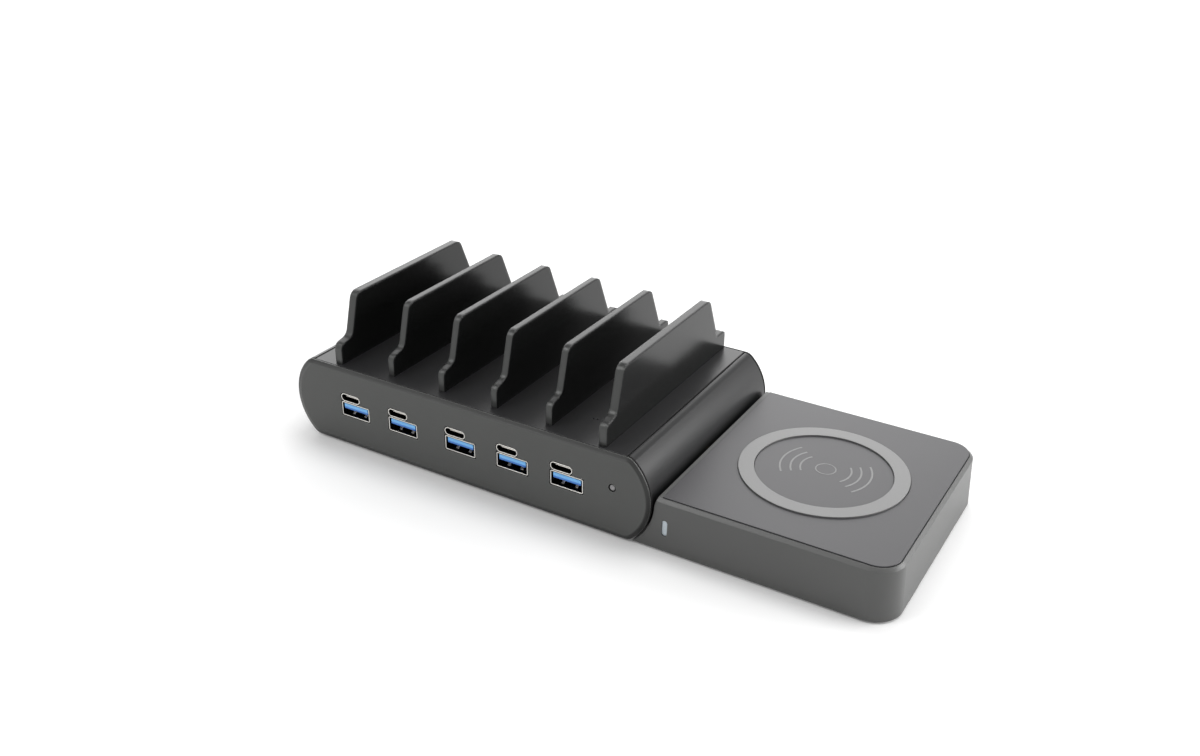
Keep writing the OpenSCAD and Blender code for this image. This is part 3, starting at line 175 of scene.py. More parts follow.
class Finish(Tree):
    """A material with its shader."""

    def __init__(self, name):
        self.material = bpy.data.materials.new(name)
        self.material.use_nodes = True
        super().__init__(self.material.node_tree)
        self.shader = self.node_tree.nodes["Principled BSDF"]

    def place(self):
        return self.add("ShaderNodeTexCoord", out="Object")

    def axis(self, vector, number):
        return self.add("ShaderNodeSeparateXYZ", {}, {0: vector}, out=number)

    def noise(self, place, scale, detail):
        return self.add("ShaderNodeTexNoise", {}, {"Vector": place, "Scale": scale, "Detail": detail})

    def ramp(self, value, start, end):
        """0 up to start, 1 from end on, and a straight slope between them."""
        return self.add("ShaderNodeMapRange", {"clamp": True}, {0: value, 1: start, 2: end, 3: 0.0, 4: 1.0})

    def mix(self, mask, low, high):
        """The low colour where the mask is 0 and the high colour where it is 1."""
        return self.add("ShaderNodeMix", {"data_type": "RGBA", "blend_type": "MIX"},
                        {0: mask, MIX_LOW: low, MIX_HIGH: high}, out=MIX_RESULT)

    def edges(self, radius):
        """The normal with rounded edges, and a mask that is 1 where an edge turns."""
        rounded = self.add("ShaderNodeBevel", {"samples": BEVEL_SAMPLES}, {"Radius": radius})
        flat = self.add("ShaderNodeNewGeometry", out="True Normal")
        facing = self.add("ShaderNodeVectorMath", {"operation": "DOT_PRODUCT"}, {0: rounded, 1: flat},
                          out="Value")
        return rounded, self.ramp(facing, 1.0, CORNER_TURN)

    def bump(self, height, strength, distance, **normal):
        return self.add("ShaderNodeBump", {}, {"Strength": strength, "Distance": distance,
                                               "Height": height, **normal})

    def surface(self, **sockets):
        for key, value in sockets.items():
            self.feed(self.shader.inputs[key.replace("_", " ")], value)
        return self.material


def tone(colour, share=1.0):
    """A colour with its alpha, made darker or lighter by a share."""
    return (*(min(1.0, c * share) for c in colour), 1)


print("finishes can be made")

# %% [markdown]
# The floor is a plain white sheet, lit like the object.
# A lit white sheet still renders as light grey, so a little glow is added for what the
# camera, a mirror or a glass sees of it. More light on everything would whiten it too,
# but would bleach the object. Near the object the glow is faint, so that the shadow
# stays clear, and it grows with the distance until the sheet meets the horizon.

# %% Floor
FLOOR_COLOUR = (0.94, 0.94, 0.94, 1)
FLOOR_GLOW = (0.08, 0.08, 0.08, 1)
FAR_GLOW = (0.6, 0.6, 0.6, 1)
NO_GLOW = (0, 0, 0, 1)
GLOW_STARTS, GLOW_ENDS = 0.45, 1.6
FLOOR_REACH = 4


def seen_directly(tree):
    """1 for what the camera sees, also in a mirror or through glass, and 0 for other light."""
    seen = tree.add("ShaderNodeLightPath", out="Is Camera Ray")
    for ray in ("Is Glossy Ray", "Is Transmission Ray"):
        seen = seen.maths("MAXIMUM", tree.add("ShaderNodeLightPath", out=ray))
    return seen


floor_mesh = bpy.data.meshes.new("floor")
sheet = bmesh.new()
bmesh.ops.create_grid(sheet, x_segments=1, y_segments=1, size=FLOOR_REACH)
sheet.to_mesh(floor_mesh)
sheet.free()
floor = bpy.data.objects.new("floor", floor_mesh)
bpy.context.collection.objects.link(floor)

floor_finish = Finish("floor_white")
distance = floor_finish.add("ShaderNodeVectorMath", {"operation": "LENGTH"}, {0: floor_finish.place()},
                            out="Value")
spread = floor_finish.mix(floor_finish.ramp(distance, GLOW_STARTS, GLOW_ENDS), FLOOR_GLOW, FAR_GLOW)
glow = floor_finish.mix(seen_directly(floor_finish), NO_GLOW, spread)
floor_finish.surface(Base_Color=FLOOR_COLOUR, Roughness=1.0, Specular_IOR_Level=0.0,
                     Emission_Color=glow, Emission_Strength=1.0)
floor_mesh.materials.append(floor_finish.material)
print("floor reaches", FLOOR_REACH, "m each way")

# %% [markdown]
# The surroundings are an even white. The camera and mirrors see it at full strength, and
# the object is lit by less than half of it, so that the lamps can model its shape.
# One strength for both would leave either a grey picture or flat faces.

# %% Surroundings
WORLD_LIGHT = 0.44
WHITE = (1, 1, 1, 1)

world = bpy.data.worlds.new("surroundings")
world.use_nodes = True
bpy.context.scene.world = world
sky = Tree(world.node_tree)
background = world.node_tree.nodes["Background"].inputs
sky.feed(background["Color"], WHITE)
sky.feed(background["Strength"], seen_directly(sky) * (1.0 - WORLD_LIGHT) + WORLD_LIGHT)
print("surroundings light the object at", WORLD_LIGHT)

# %% [markdown]
# Four soft panels do the modelling, as in a photographer's tent. The largest stands low
# behind the object on the left, where every flat top mirrors it to the camera. One is
# overhead, a little to the back, so that the front of the object stands in its own short
# shadow. One brightens the right-hand faces, and a small one, high at the front on the
# left, lifts the front. Point lamps would be simpler, but leave hard spots on plastic.
# A panel is aimed by turning its own -Z axis along the line to its target.

# %% Soft lamps
def soft_panel(name, place, aim, size, watts):
    lamp = bpy.data.lights.new(name, "AREA")
    lamp.shape = "RECTANGLE"
    lamp.size, lamp.size_y = size
    lamp.energy = watts
    item = bpy.data.objects.new(name, lamp)
    line = Vector(aim) - Vector(place)
    item.matrix_world = Matrix.LocRotScale(Vector(place), line.to_track_quat("-Z", "Y"), None)
    bpy.context.collection.objects.link(item)
    print(name, watts, "W")


AT_MIDDLE = (0.0, 0.0, 0.02)
AT_RIGHT = (0.05, 0.0, 0.02)
soft_panel("panel_back", place=(-0.85, 1.05, 0.68), aim=AT_MIDDLE, size=(1.9, 1.2), watts=12.5)
soft_panel("panel_over", place=(0.1, 0.35, 1.3), aim=AT_MIDDLE, size=(1.0, 0.6), watts=6.5)
soft_panel("panel_right", place=(0.95, 0.45, 0.42), aim=AT_RIGHT, size=(0.9, 0.5), watts=9.0)
soft_panel("panel_front", place=(-0.8, -0.82, 1.37), aim=AT_MIDDLE, size=(0.6, 0.6), watts=5.9)

# %% [markdown]
# Finishes and trim have to sit on the solids, so their places come from the solids' own
# boxes: where the housing's middle is, how far apart the socket columns stand and how
# high each row sits. Typed numbers would do today, and be wrong after the next change.
# Rounding takes away the last digits that a mesh's short numbers add.

# %% Places read from the solids
DIGITS = 4
SOCKET_COUNT = 5
RING_R = 29.2


def lowest(node, axis):
    """The lowest place of a node along an axis, in millimetres."""
    return round(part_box(node)[0][axis] / MM, DIGITS)


def highest(node, axis):
    return round(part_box(node)[1][axis] / MM, DIGITS)


def middle(node, axis):
    return round((lowest(node, axis) + highest(node, axis)) / 2, DIGITS)


BODY_X = middle("front_panel", X)
MID_Z = middle("front_panel", Z)
HALF_D = -lowest("front_panel", Y)
SHELL_HALF_D = highest("housing_shell", Y)
DECK_HALF_W = highest("deck_plate", X) - BODY_X
COLUMNS = [middle(f"usb_a_shell_{k}", X) for k in range(1, SOCKET_COUNT + 1)]
LARGE_Z = middle("usb_a_shell_1", Z)
SMALL_Z = middle("usb_c_shell_1", Z)
SMALL_SHIFT = middle("usb_c_shell_1", X) - COLUMNS[0]
FACE_Y = lowest("usb_a_shell_1", Y)
LIGHT_X, LIGHT_Z = middle("indicator_lens", X), middle("indicator_lens", Z)
PAD_Z = highest("pad_top", Z)
RING_X = highest("pad_ring", X) - RING_R
ROCKER_X = middle("switch_rocker", X)
print("socket columns at", COLUMNS, "faces at", FACE_Y, "pad top at", PAD_Z)

# %% [markdown]
# Moulded plastic is never one flat colour. Spark-eroded tools leave a fine even grain,
# the melt flow leaves slightly cloudier areas, and rubbed corners are polished lighter;
# the paler corners also stand for a painted highlight along rounded edges.
# Two noises and the corner mask give all three, without a picture or a UV map.
# The front panel has a sloped rim that is rounder than its flat solid, so its normals are
# stretched sideways there, and the slope is smoother than the face and painted darker,
# as painted shade.
# Where the housing's shell meets a panel, the last half millimetre is painted black as
# painted shade of the joint, and so are the deck's two side edges, along its seams.
# The front edges of the dividers are painted pale, as a painted highlight where they face the front.
# Lengths on a finish are in millimetres and become metres where they are used.

# %% Special places on moulded plastic
SLOPE_STARTS, SLOPE_ENDS = 0.1, 0.2
LEAN_STARTS, LEAN_ENDS = 0.05, 0.3
SHADE_IN, SHADE_OUT = 0.6, 0.3
FACING_SIDE, FACING_FRONT = 0.3, 0.8


def sloped_rim(finish, place, rounded, lean):
    """A mask of a panel's sloped rim, and its normals leaned outwards."""
    depth = HALF_D * MM - abs(finish.axis(place, Y))
    slope = finish.ramp(depth, SLOPE_STARTS * MM, SLOPE_ENDS * MM)
    outward = finish.ramp(depth, LEAN_STARTS * MM, LEAN_ENDS * MM) * (lean - 1.0) + 1.0
    stretch = finish.add("ShaderNodeCombineXYZ", {}, {X: outward, Y: 1.0, Z: outward})
    leaned = finish.add("ShaderNodeVectorMath", {"operation": "MULTIPLY"}, {0: rounded, 1: stretch})
    return slope, finish.add("ShaderNodeVectorMath", {"operation": "NORMALIZE"}, {0: leaned})


def front_facing(finish):
    """A mask that is 1 on faces that look to the front."""
    to_front = finish.axis(finish.add("ShaderNodeNewGeometry", out="True Normal"), Y) * -1.0
    return finish.ramp(to_front, FACING_SIDE, FACING_FRONT)


def painted_joint_shade(finish, place, axis, centre, reach):
    """A mask of painted shade on the last strip before a joint that lies that reach from the centre."""
    away = abs(finish.axis(place, axis) - centre * MM)
    return finish.ramp(away, (reach - SHADE_IN) * MM, (reach - SHADE_OUT) * MM)


print("rim slopes from", SLOPE_STARTS, "to", SLOPE_ENDS, "mm, shade is", SHADE_IN, "mm wide")

# %% [markdown]
# One function makes every plastic, so that all of them age alike, and each part only says
# in what it differs: how rough, how grainy, how far its corners are rubbed and painted pale
# as a highlight.

# %% Moulded plastic
CLOUD_SCALE, CLOUD_DETAIL, CLOUD_SHARE = 45.0, 3.0, 0.9
GRAIN_DETAIL = 2.0
GRAIN_DEPTH = 0.03
CLOUD_TONE = 0.86
WEAR_AND_HIGHLIGHT = 0.6
SMOOTHEST, CLOUD_ROUGH, GRAIN_ROUGH, CORNER_POLISH = 0.04, 0.05, 0.05, 0.06
SLOPE_PAINTED_SHADE, SLOPE_POLISH = 0.3, 0.12
JOINT_PAINTED_SHADE, JOINT_ROUGH = (0.001, 0.001, 0.001), 0.6


def plastic(name, colour, rough, grain=0.18, grain_mm=0.22, edge_mm=0.3, rub_and_highlight=1.6, gloss=0.5,
            lean=None, joint=None, front_highlight=None):
    finish = Finish(name)
    place = finish.place()
    cloud = finish.noise(place, CLOUD_SCALE, CLOUD_DETAIL)
    speck = finish.noise(place, 1 / (grain_mm * MM), GRAIN_DETAIL)
    rounded, corner = finish.edges(edge_mm * MM)
    body = finish.mix(cloud * CLOUD_SHARE, tone(colour, CLOUD_TONE), tone(colour))
    uneven = rough - SMOOTHEST + cloud * CLOUD_ROUGH + speck * GRAIN_ROUGH - corner * CORNER_POLISH
    if lean is not None:
        slope, rounded = sloped_rim(finish, place, rounded, lean)
        # Painted shade: the sloped rim is painted darker than the face.
        body = finish.mix(slope, body, tone(colour, SLOPE_PAINTED_SHADE))
        uneven = uneven - slope * SLOPE_POLISH
    # The paler corners are partly rubbed wear and partly a painted highlight along the edges.
    surface_colour = finish.mix(corner * WEAR_AND_HIGHLIGHT, body, tone(colour, rub_and_highlight))
    if front_highlight is not None:
        # Painted highlight: faces that look to the front are painted paler.
        surface_colour = finish.mix(front_facing(finish), surface_colour, tone(front_highlight))
    if joint is not None:
        # Painted shade: the strip before a joint is painted almost black.
        shade = painted_joint_shade(finish, place, *joint)
        surface_colour = finish.mix(shade, surface_colour, tone(JOINT_PAINTED_SHADE))
        uneven = uneven + shade * JOINT_ROUGH
    bump = finish.bump(speck, grain, GRAIN_DEPTH * MM, Normal=rounded)
    return finish.surface(Base_Color=surface_colour, Roughness=uneven, Specular_IOR_Level=gloss, Normal=bump)


# Painted shade runs along the shell's joints with the panels and along the deck's seams.
PANEL_JOINT = (Y, 0.0, SHELL_HALF_D)
DECK_JOINT = (X, BODY_X, DECK_HALF_W)
finishes = {
    "housing_plastic": plastic("housing_plastic_satin", (0.008, 0.008, 0.0085), rough=0.32, edge_mm=0.4,
                               rub_and_highlight=5.0, gloss=0.38, joint=PANEL_JOINT),
    "deck_plastic": plastic("deck_plastic_satin", (0.016, 0.016, 0.017), rough=0.34, rub_and_highlight=3.0,
                            joint=DECK_JOINT),
    "front_plastic": plastic("front_plastic_grained", (0.08, 0.082, 0.079), rough=0.5, edge_mm=0.45,
                             rub_and_highlight=3.2, gloss=0.42, lean=5.0),
    "divider_plastic": plastic("divider_plastic_gloss", (0.006, 0.0064, 0.0062), rough=0.2, grain=0.1,
                               edge_mm=1.25, rub_and_highlight=2.5, gloss=0.355, front_highlight=(0.062, 0.064, 0.062)),
    "pad_plastic": plastic("pad_plastic_satin", (0.088, 0.089, 0.087), rough=0.34, edge_mm=0.4, rub_and_highlight=1.5),
    "pad_top_plastic": plastic("pad_top_plastic_fine", (0.048, 0.047, 0.051), rough=0.38, grain=0.25,
                               grain_mm=0.16),
    "pad_base_plastic": plastic("pad_base_plastic_grained", (0.04, 0.04, 0.039), rough=0.5),
    "black_plastic": plastic("black_plastic_moulded", (0.012, 0.012, 0.013), rough=0.4),
    "rubber": plastic("rubber_soft", (0.012, 0.012, 0.012), rough=0.75, grain=0.4, grain_mm=0.4, rub_and_highlight=2.2),
    "rocker_plastic": plastic("rocker_plastic_glossy", (0.012, 0.012, 0.012), rough=0.22, grain=0.05),
    "core_ferrite": plastic("core_ferrite_ceramic", (0.05, 0.05, 0.052), rough=0.6, grain=0.4),
    "winding_tape": plastic("winding_tape_yellow", (0.62, 0.42, 0.06), rough=0.35, grain=0.1, rub_and_highlight=1.2),
    "lens_plastic": plastic("lens_smoked", (0.02, 0.02, 0.02), rough=0.25, grain=0.05),
    "ring_silver": plastic("ring_silver_satin", (0.2, 0.2, 0.2), rough=0.34, grain=0.12, rub_and_highlight=1.25),
}
print("plastics:", len(finishes))

# %% [markdown]
# The tongue of a large socket is bright blue, painted paler along its upper edge as a
# painted highlight where it is chamfered. The block that it grows from lies deep in the
# shell and is painted almost black, as painted shade. Two materials would need a cut in
# the solid, so the colour follows the depth and the height of each point instead.

# %% Blue tongues
BLUE, BLUE_EDGE_HIGHLIGHT, BLUE_CLOUD = (0.03, 0.16, 0.6), (0.2, 0.55, 1.0), (0.1, 0.35, 0.8)
DEEP_PAINTED_SHADE = (0.004, 0.005, 0.009)
EDGE_FROM, EDGE_TO = LARGE_Z + 0.55, LARGE_Z + 1.0
BLOCK_FROM, BLOCK_TO = FACE_Y + 9.5, FACE_Y + 10.2
BLUE_SCALE, BLUE_DETAIL, BLUE_SHARE = 700.0, 2.0, 0.3
BLUE_ROUGH, BLUE_UNEVEN, BLUE_POLISH = 0.32, 0.1, 0.05
TONGUE_EDGE = 0.15


def tongue_blue(name):
    finish = Finish(name)
    place = finish.place()
    cloud = finish.noise(place, BLUE_SCALE, BLUE_DETAIL)
    # Painted highlight: the tongue is painted paler along its upper edge.
    upper_highlight = finish.ramp(finish.axis(place, Z), EDGE_FROM * MM, EDGE_TO * MM)
    # Painted shade: deep in the shell the colour is painted almost black.
    deep_shade = finish.ramp(finish.axis(place, Y), BLOCK_FROM * MM, BLOCK_TO * MM)
    rounded, corner = finish.edges(TONGUE_EDGE * MM)
    blue = finish.mix(upper_highlight, tone(BLUE), tone(BLUE_EDGE_HIGHLIGHT))
    tinted = finish.mix(cloud * BLUE_SHARE, blue, tone(BLUE_CLOUD))
    body = finish.mix(deep_shade, tinted, tone(DEEP_PAINTED_SHADE))
    uneven = BLUE_ROUGH + cloud * BLUE_UNEVEN - corner * BLUE_POLISH
    return finish.surface(Base_Color=body, Roughness=uneven, Normal=rounded)


finishes["blue_plastic"] = tongue_blue("blue_plastic_moulded")
print("blue from", round(FACE_Y, 2), "to", round(BLOCK_FROM, 2), "mm")

# %% [markdown]
# Metals show the finish of their making: drawn shells carry fine lines along their
# length, cast and rolled parts a faint cloud, and plated contacts are nearly even.
# The lines come from noise that is stretched along one axis by a Mapping node. Anisotropy
# would streak the highlights too, but shows no line when one looks closely.
# A socket's shell is bright only at its mouth: inside, where no light reaches the bare
# steel, it is painted dark as painted shade.

# %% Metals
LINE_SIZE, LINE_DETAIL = 0.4, 3.0
LINE_BUMP, LINE_DEPTH = 0.12, 0.02
METAL_CLOUD_SCALE, METAL_CLOUD_DETAIL = 120.0, 2.0
METAL_EDGE = 0.12
HALF = 0.5
DULL_TONE, BRIGHT_TONE = 0.8, 1.15
METAL_SMOOTHEST, LINE_ROUGH = 0.05, 0.1
MOUTH_DEPTH, MOUTH_SHADE = 0.35, (0.045, 0.042, 0.04)
ALONG_Y, ALONG_Z = 0.08, 0.1
SINK_ALONG_Y = 0.05


def metal(name, colour, rough, stretch=(1.0, 1.0, 1.0), mouth=None):
    finish = Finish(name)
    place = finish.place()
    drawn = finish.add("ShaderNodeMapping", {}, {"Vector": place, "Scale": stretch})
    lines = finish.noise(drawn, 1 / (LINE_SIZE * MM), LINE_DETAIL)
    cloud = finish.noise(place, METAL_CLOUD_SCALE, METAL_CLOUD_DETAIL)
    rounded, corner = finish.edges(METAL_EDGE * MM)
    body = finish.mix(lines * HALF + cloud * HALF, tone(colour, DULL_TONE), tone(colour))
    surface_colour = finish.mix(corner * HALF, body, tone(colour, BRIGHT_TONE))
    if mouth is not None:
        # Painted shade: inside the mouth the steel is painted dark.
        inside = finish.ramp(finish.axis(place, Y), mouth * MM, (mouth + MOUTH_DEPTH) * MM)
        surface_colour = finish.mix(inside, surface_colour, tone(MOUTH_SHADE))
    bump = finish.bump(lines, LINE_BUMP, LINE_DEPTH * MM, Normal=rounded)
    return finish.surface(Base_Color=surface_colour, Metallic=1.0, Normal=bump,
                          Roughness=rough - METAL_SMOOTHEST + lines * LINE_ROUGH)


finishes.update({
    "socket_steel": metal("socket_steel_drawn", (0.84, 0.82, 0.78), rough=0.3, stretch=(1, ALONG_Y, 1),
                          mouth=FACE_Y),
    "spring_steel": metal("spring_steel_bright", (0.85, 0.82, 0.78), rough=0.4),
    "screw_steel": metal("screw_steel_blackened", (0.2, 0.2, 0.21), rough=0.4),
    "sink_aluminium": metal("sink_aluminium_extruded", (0.72, 0.73, 0.74), rough=0.35,
                            stretch=(1, SINK_ALONG_Y, 1)),
    "contact_brass": metal("contact_gold_plated", (0.83, 0.66, 0.3), rough=0.25),
    "magnet_nickel": metal("magnet_nickel_plated", (0.62, 0.61, 0.58), rough=0.3),
    "coil_copper": metal("coil_copper_enamelled", (0.72, 0.33, 0.16), rough=0.32),
    "capacitor_can": metal("capacitor_can_sleeved", (0.3, 0.3, 0.33), rough=0.35,
                           stretch=(1, 1, ALONG_Z)),
})
print("metals ready, finishes:", len(finishes))

# %% [markdown]
# A circuit board shows its woven glass under the green lacquer as a faint square weave.
# Two crossed sine waves draw it, because noise has no threads. They turn 9000 radians in
# a metre, which sets the threads 0.7 mm apart. The weave runs along the height on an
# upright board and along the depth on a flat one, so both are added up.

# %% Boards
THREAD_TURNS = 9000.0
WEAVE_SHARE, BOARD_CLOUD_SHARE = 0.35, 0.4
BOARD_CLOUD_SCALE, BOARD_CLOUD_DETAIL = 160.0, 3.0
BOARD_DARK_TONE = 0.7
BOARD_BUMP, BOARD_DEPTH = 0.1, 0.02
BOARD_ROUGH, BOARD_UNEVEN, LACQUER = 0.25, 0.15, 0.3


def laminate(name, colour):
    finish = Finish(name)
    place = finish.place()
    across = (finish.axis(place, X) * THREAD_TURNS).maths("SINE")
    along = ((finish.axis(place, Y) + finish.axis(place, Z)) * THREAD_TURNS).maths("SINE")
    weave = across * along * HALF + HALF
    cloud = finish.noise(place, BOARD_CLOUD_SCALE, BOARD_CLOUD_DETAIL)
    body = finish.mix(weave * WEAVE_SHARE + cloud * BOARD_CLOUD_SHARE,
                      tone(colour, BOARD_DARK_TONE), tone(colour))
    bump = finish.bump(weave, BOARD_BUMP, BOARD_DEPTH * MM)
    return finish.surface(Base_Color=body, Roughness=BOARD_ROUGH + cloud * BOARD_UNEVEN,
                          Coat_Weight=LACQUER, Normal=bump)


finishes["board_laminate"] = laminate("board_green_lacquer", (0.02, 0.13, 0.05))
print("board threads are", round(2 * math.pi / THREAD_TURNS / MM, 2), "mm apart")

# %% [markdown]
# The indicator is a milky dome on a smoked lens, and the pad's light is a bluish window
# that glows a little. Real glass in front of a lamp would need many more samples, so
# both are a pale cloudy plastic, and the window's own colour gives its glow.

# %% Windows
WINDOW_CLOUD_SCALE, WINDOW_CLOUD_DETAIL = 900.0, 2.0
WINDOW_EDGE, WINDOW_WEAR = 0.25, 0.4
WINDOW_DARK_TONE, WINDOW_PALE_TONE = 0.86, 1.2
WINDOW_ROUGH, WINDOW_UNEVEN = 0.22, 0.08


def window(name, colour, glow):
    finish = Finish(name)
    cloud = finish.noise(finish.place(), WINDOW_CLOUD_SCALE, WINDOW_CLOUD_DETAIL)
    rounded, corner = finish.edges(WINDOW_EDGE * MM)
    body = finish.mix(cloud, tone(colour, WINDOW_DARK_TONE), tone(colour))
    surface_colour = finish.mix(corner * WINDOW_WEAR, body, tone(colour, WINDOW_PALE_TONE))
    return finish.surface(Base_Color=surface_colour, Roughness=WINDOW_ROUGH + cloud * WINDOW_UNEVEN,
                          Emission_Color=surface_colour, Emission_Strength=glow, Normal=rounded)


finishes["dome_plastic"] = window("dome_milky", (0.3, 0.295, 0.3), glow=0.0)
finishes["light_plastic"] = window("light_bluish_white", (0.5, 0.56, 0.6), glow=0.12)
print("finishes in all:", len(finishes))

# %% [markdown]
# Every solid already names the material slot it was made for.
# The finish of that slot takes the place of the plain colour it came with. The solids
# themselves are left alone: only their slots are filled.

# %% Give each part its finish
for part in frame["record"]["subparts"]:
    for slot in nodes[part["node"]].material_slots:
        slot.material = finishes[part["material_slot"]]

# %% [markdown]
# Every large socket has two sprung tabs in its floor that grip the plug, a blue nose on
# its tongue and a row of gold contacts under it. Each could be modelled by hand, but they
# are all strips that differ only in size. One small Geometry Nodes tree makes a row of
# them: it bends a flat strip from a curve and puts one on every point that it is given.

# %% A Geometry Nodes tree for bent strips
BEND_STEPS = 6
FIRST_ARM, LAST_ARM = 0.35, 0.65


def strip_tree():
    group = bpy.data.node_groups.new("bent_strips", "GeometryNodeTree")
    face = group.interface
    face.new_socket("Geometry", in_out="INPUT", socket_type="NodeSocketGeometry")
    for name in ("Width", "Length", "Rise", "Thickness"):
        face.new_socket(name, in_out="INPUT", socket_type="NodeSocketFloat")
    face.new_socket("Material", in_out="INPUT", socket_type="NodeSocketMaterial")
    face.new_socket("Geometry", in_out="OUTPUT", socket_type="NodeSocketGeometry")
    tree = Tree(group)

    def given(name):
        return tree.add("NodeGroupInput", out=name)

    def point(along, up=0.0):
        return tree.add("ShaderNodeCombineXYZ", {}, {"Y": along, "Z": up})

    length, rise = given("Length"), given("Rise")
    bend = tree.add("GeometryNodeCurvePrimitiveBezierSegment", {}, {
        "Resolution": BEND_STEPS, "Start": point(0.0), "Start Handle": point(length * FIRST_ARM),
        "End Handle": point(length * LAST_ARM, rise), "End": point(length, rise)})
    section = tree.add("GeometryNodeCurvePrimitiveQuadrilateral", {},
                       {"Width": given("Width"), "Height": given("Thickness")})
    strip = tree.add("GeometryNodeCurveToMesh", {},
                     {"Curve": bend, "Profile Curve": section, "Fill Caps": True})
    copies = tree.add("GeometryNodeInstanceOnPoints", {}, {"Points": given("Geometry"), "Instance": strip})
    real = tree.add("GeometryNodeRealizeInstances", {}, {"Geometry": copies})
    painted = tree.add("GeometryNodeSetMaterial", {}, {"Geometry": real, "Material": given("Material")})
    tree.add("NodeGroupOutput", {}, {"Geometry": painted})
    return group


STRIPS = strip_tree()
print("strip tree has", len(STRIPS.nodes), "nodes")

# %% [markdown]
# The tree works on a handful of loose points. Its inputs are set by their sockets'
# identifiers before it is first evaluated, because a name can stand for two sockets. The
# result is copied to a plain mesh, and the modifier goes away with the points, so that
# what is left is an ordinary piece that can ride on a body.

# %% Turn the tree and its points into a plain piece
def strips(name, points, finish, width, length, thickness, rise=0.0):
    """A piece with one strip on every point; all sizes are in millimetres."""
    values = {"Width": width * MM, "Length": length * MM, "Rise": rise * MM, "Thickness": thickness * MM,
              "Material": finishes[finish]}
    seeds = bpy.data.meshes.new(name + "_points")
    seeds.from_pydata([Vector(p) * MM for p in points], [], [])
    item = bpy.data.objects.new(name, seeds)
    bpy.context.collection.objects.link(item)
    grower = item.modifiers.new("grow", "NODES")
    grower.node_group = STRIPS
    for socket in STRIPS.interface.items_tree:
        if socket.in_out == "INPUT" and socket.name in values:
            grower[socket.identifier] = values[socket.name]
    graph = bpy.context.evaluated_depsgraph_get()
    made = bpy.data.meshes.new_from_object(item.evaluated_get(graph), depsgraph=graph)
    item.modifiers.clear()
    item.data = made
    made.name = name
    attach(item, "station")
    print(name, len(points), "copies,", len(made.polygons), "faces")


# %% [markdown]
# In a large socket the two springs rise out of the floor, the nose closes the tongue's
# front and four contacts lie along its underside. The solids give the shell and the
# tongue, and these strips are what catches the light between them.

# %% Springs, noses and contacts of the large sockets
BOTH_SIDES = (-1, 1)
SPRING_APART, SPRING_IN, SPRING_DROP = 2.775, 2.0, 2.45
NOSE_IN, NOSE_UP = 0.3, 1.08
CONTACT_IN, CONTACT_UP = 1.6, 0.14
CONTACT_STEPS = (-3.5, -1.0, 1.0, 3.5)

strips("socket_springs",
       [(x + side * SPRING_APART, FACE_Y + SPRING_IN, LARGE_Z - SPRING_DROP)
        for x in COLUMNS for side in BOTH_SIDES],
       "spring_steel", width=1.2, length=1.3, thickness=0.2, rise=0.75)
strips("tongue_noses", [(x, FACE_Y + NOSE_IN, LARGE_Z + NOSE_UP) for x in COLUMNS],
       "blue_plastic", width=11.1, length=1.2, thickness=2.04)
strips("tongue_contacts",
       [(x + step, FACE_Y + CONTACT_IN, LARGE_Z + CONTACT_UP) for x in COLUMNS for step in CONTACT_STEPS],
       "contact_brass", width=1.0, length=7.0, thickness=0.12, rise=0.02)

# %% [markdown]
# A small socket's tongue carries twelve fine contacts on either face and a bare steel
# plate at its tip. They are flat strips, so the same tree serves with no rise at all.

# %% Contacts and plates of the small sockets
PIN_COUNT, PIN_STEP = 12, 0.5
PIN_IN, PIN_OUT = 1.7, 0.36
PLATE_IN = 1.34
PIN_STEPS = [(i - (PIN_COUNT - 1) / 2) * PIN_STEP for i in range(PIN_COUNT)]

strips("small_contacts",
       [(x + SMALL_SHIFT + step, FACE_Y + PIN_IN, SMALL_Z + side * PIN_OUT)
        for x in COLUMNS for step in PIN_STEPS for side in BOTH_SIDES],
       "contact_brass", width=0.26, length=3.6, thickness=0.06)
strips("small_tongue_plates", [(x + SMALL_SHIFT, FACE_Y + PLATE_IN, SMALL_Z) for x in COLUMNS],
       "spring_steel", width=6.0, length=0.8, thickness=0.36)

# %% [markdown]
# Marks, signs and the indicator's dome are too simple for a tree and are made in bmesh.
# What they share comes last: doubles are merged, faces are turned outwards, and the piece
# gets its finish, its body and its slot.

# %% Finish a piece made in bmesh
MERGE_WITHIN = 1e-7


def finished_piece(name, mesh, finish, body):
    bmesh.ops.remove_doubles(mesh, verts=mesh.verts, dist=MERGE_WITHIN)
    bmesh.ops.recalc_face_normals(mesh, faces=mesh.faces)
    data = bpy.data.meshes.new(name)
    mesh.to_mesh(data)
    mesh.free()
    data.materials.append(finishes[finish])
    item = bpy.data.objects.new(name, data)
    bpy.context.collection.objects.link(item)
    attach(item, body)
    print(name, len(data.polygons), "faces")
    return item


# %% [markdown]
# The pad carries one printed mark: a small ring between three arcs on either side.
# A picture on the pad would blur up close. Each arc is a flat band of ink a few
# hundredths of a millimetre thick instead, a strip of quads with a top, a bottom and
# side walls.

# %% Printed waves on the pad
INK_T = 0.03
HALF_TURN, FULL_TURN = 180, 360
MARK_SHIFT = (0.2, 1.5)
DOT_RADII, DOT_STEPS = (3.22, 3.68), 48
WAVE_RADII, WAVE_HALF_W, WAVE_REACH, WAVE_STEPS = (8.75, 12.1, 15.7), 0.33, 36.5, 24


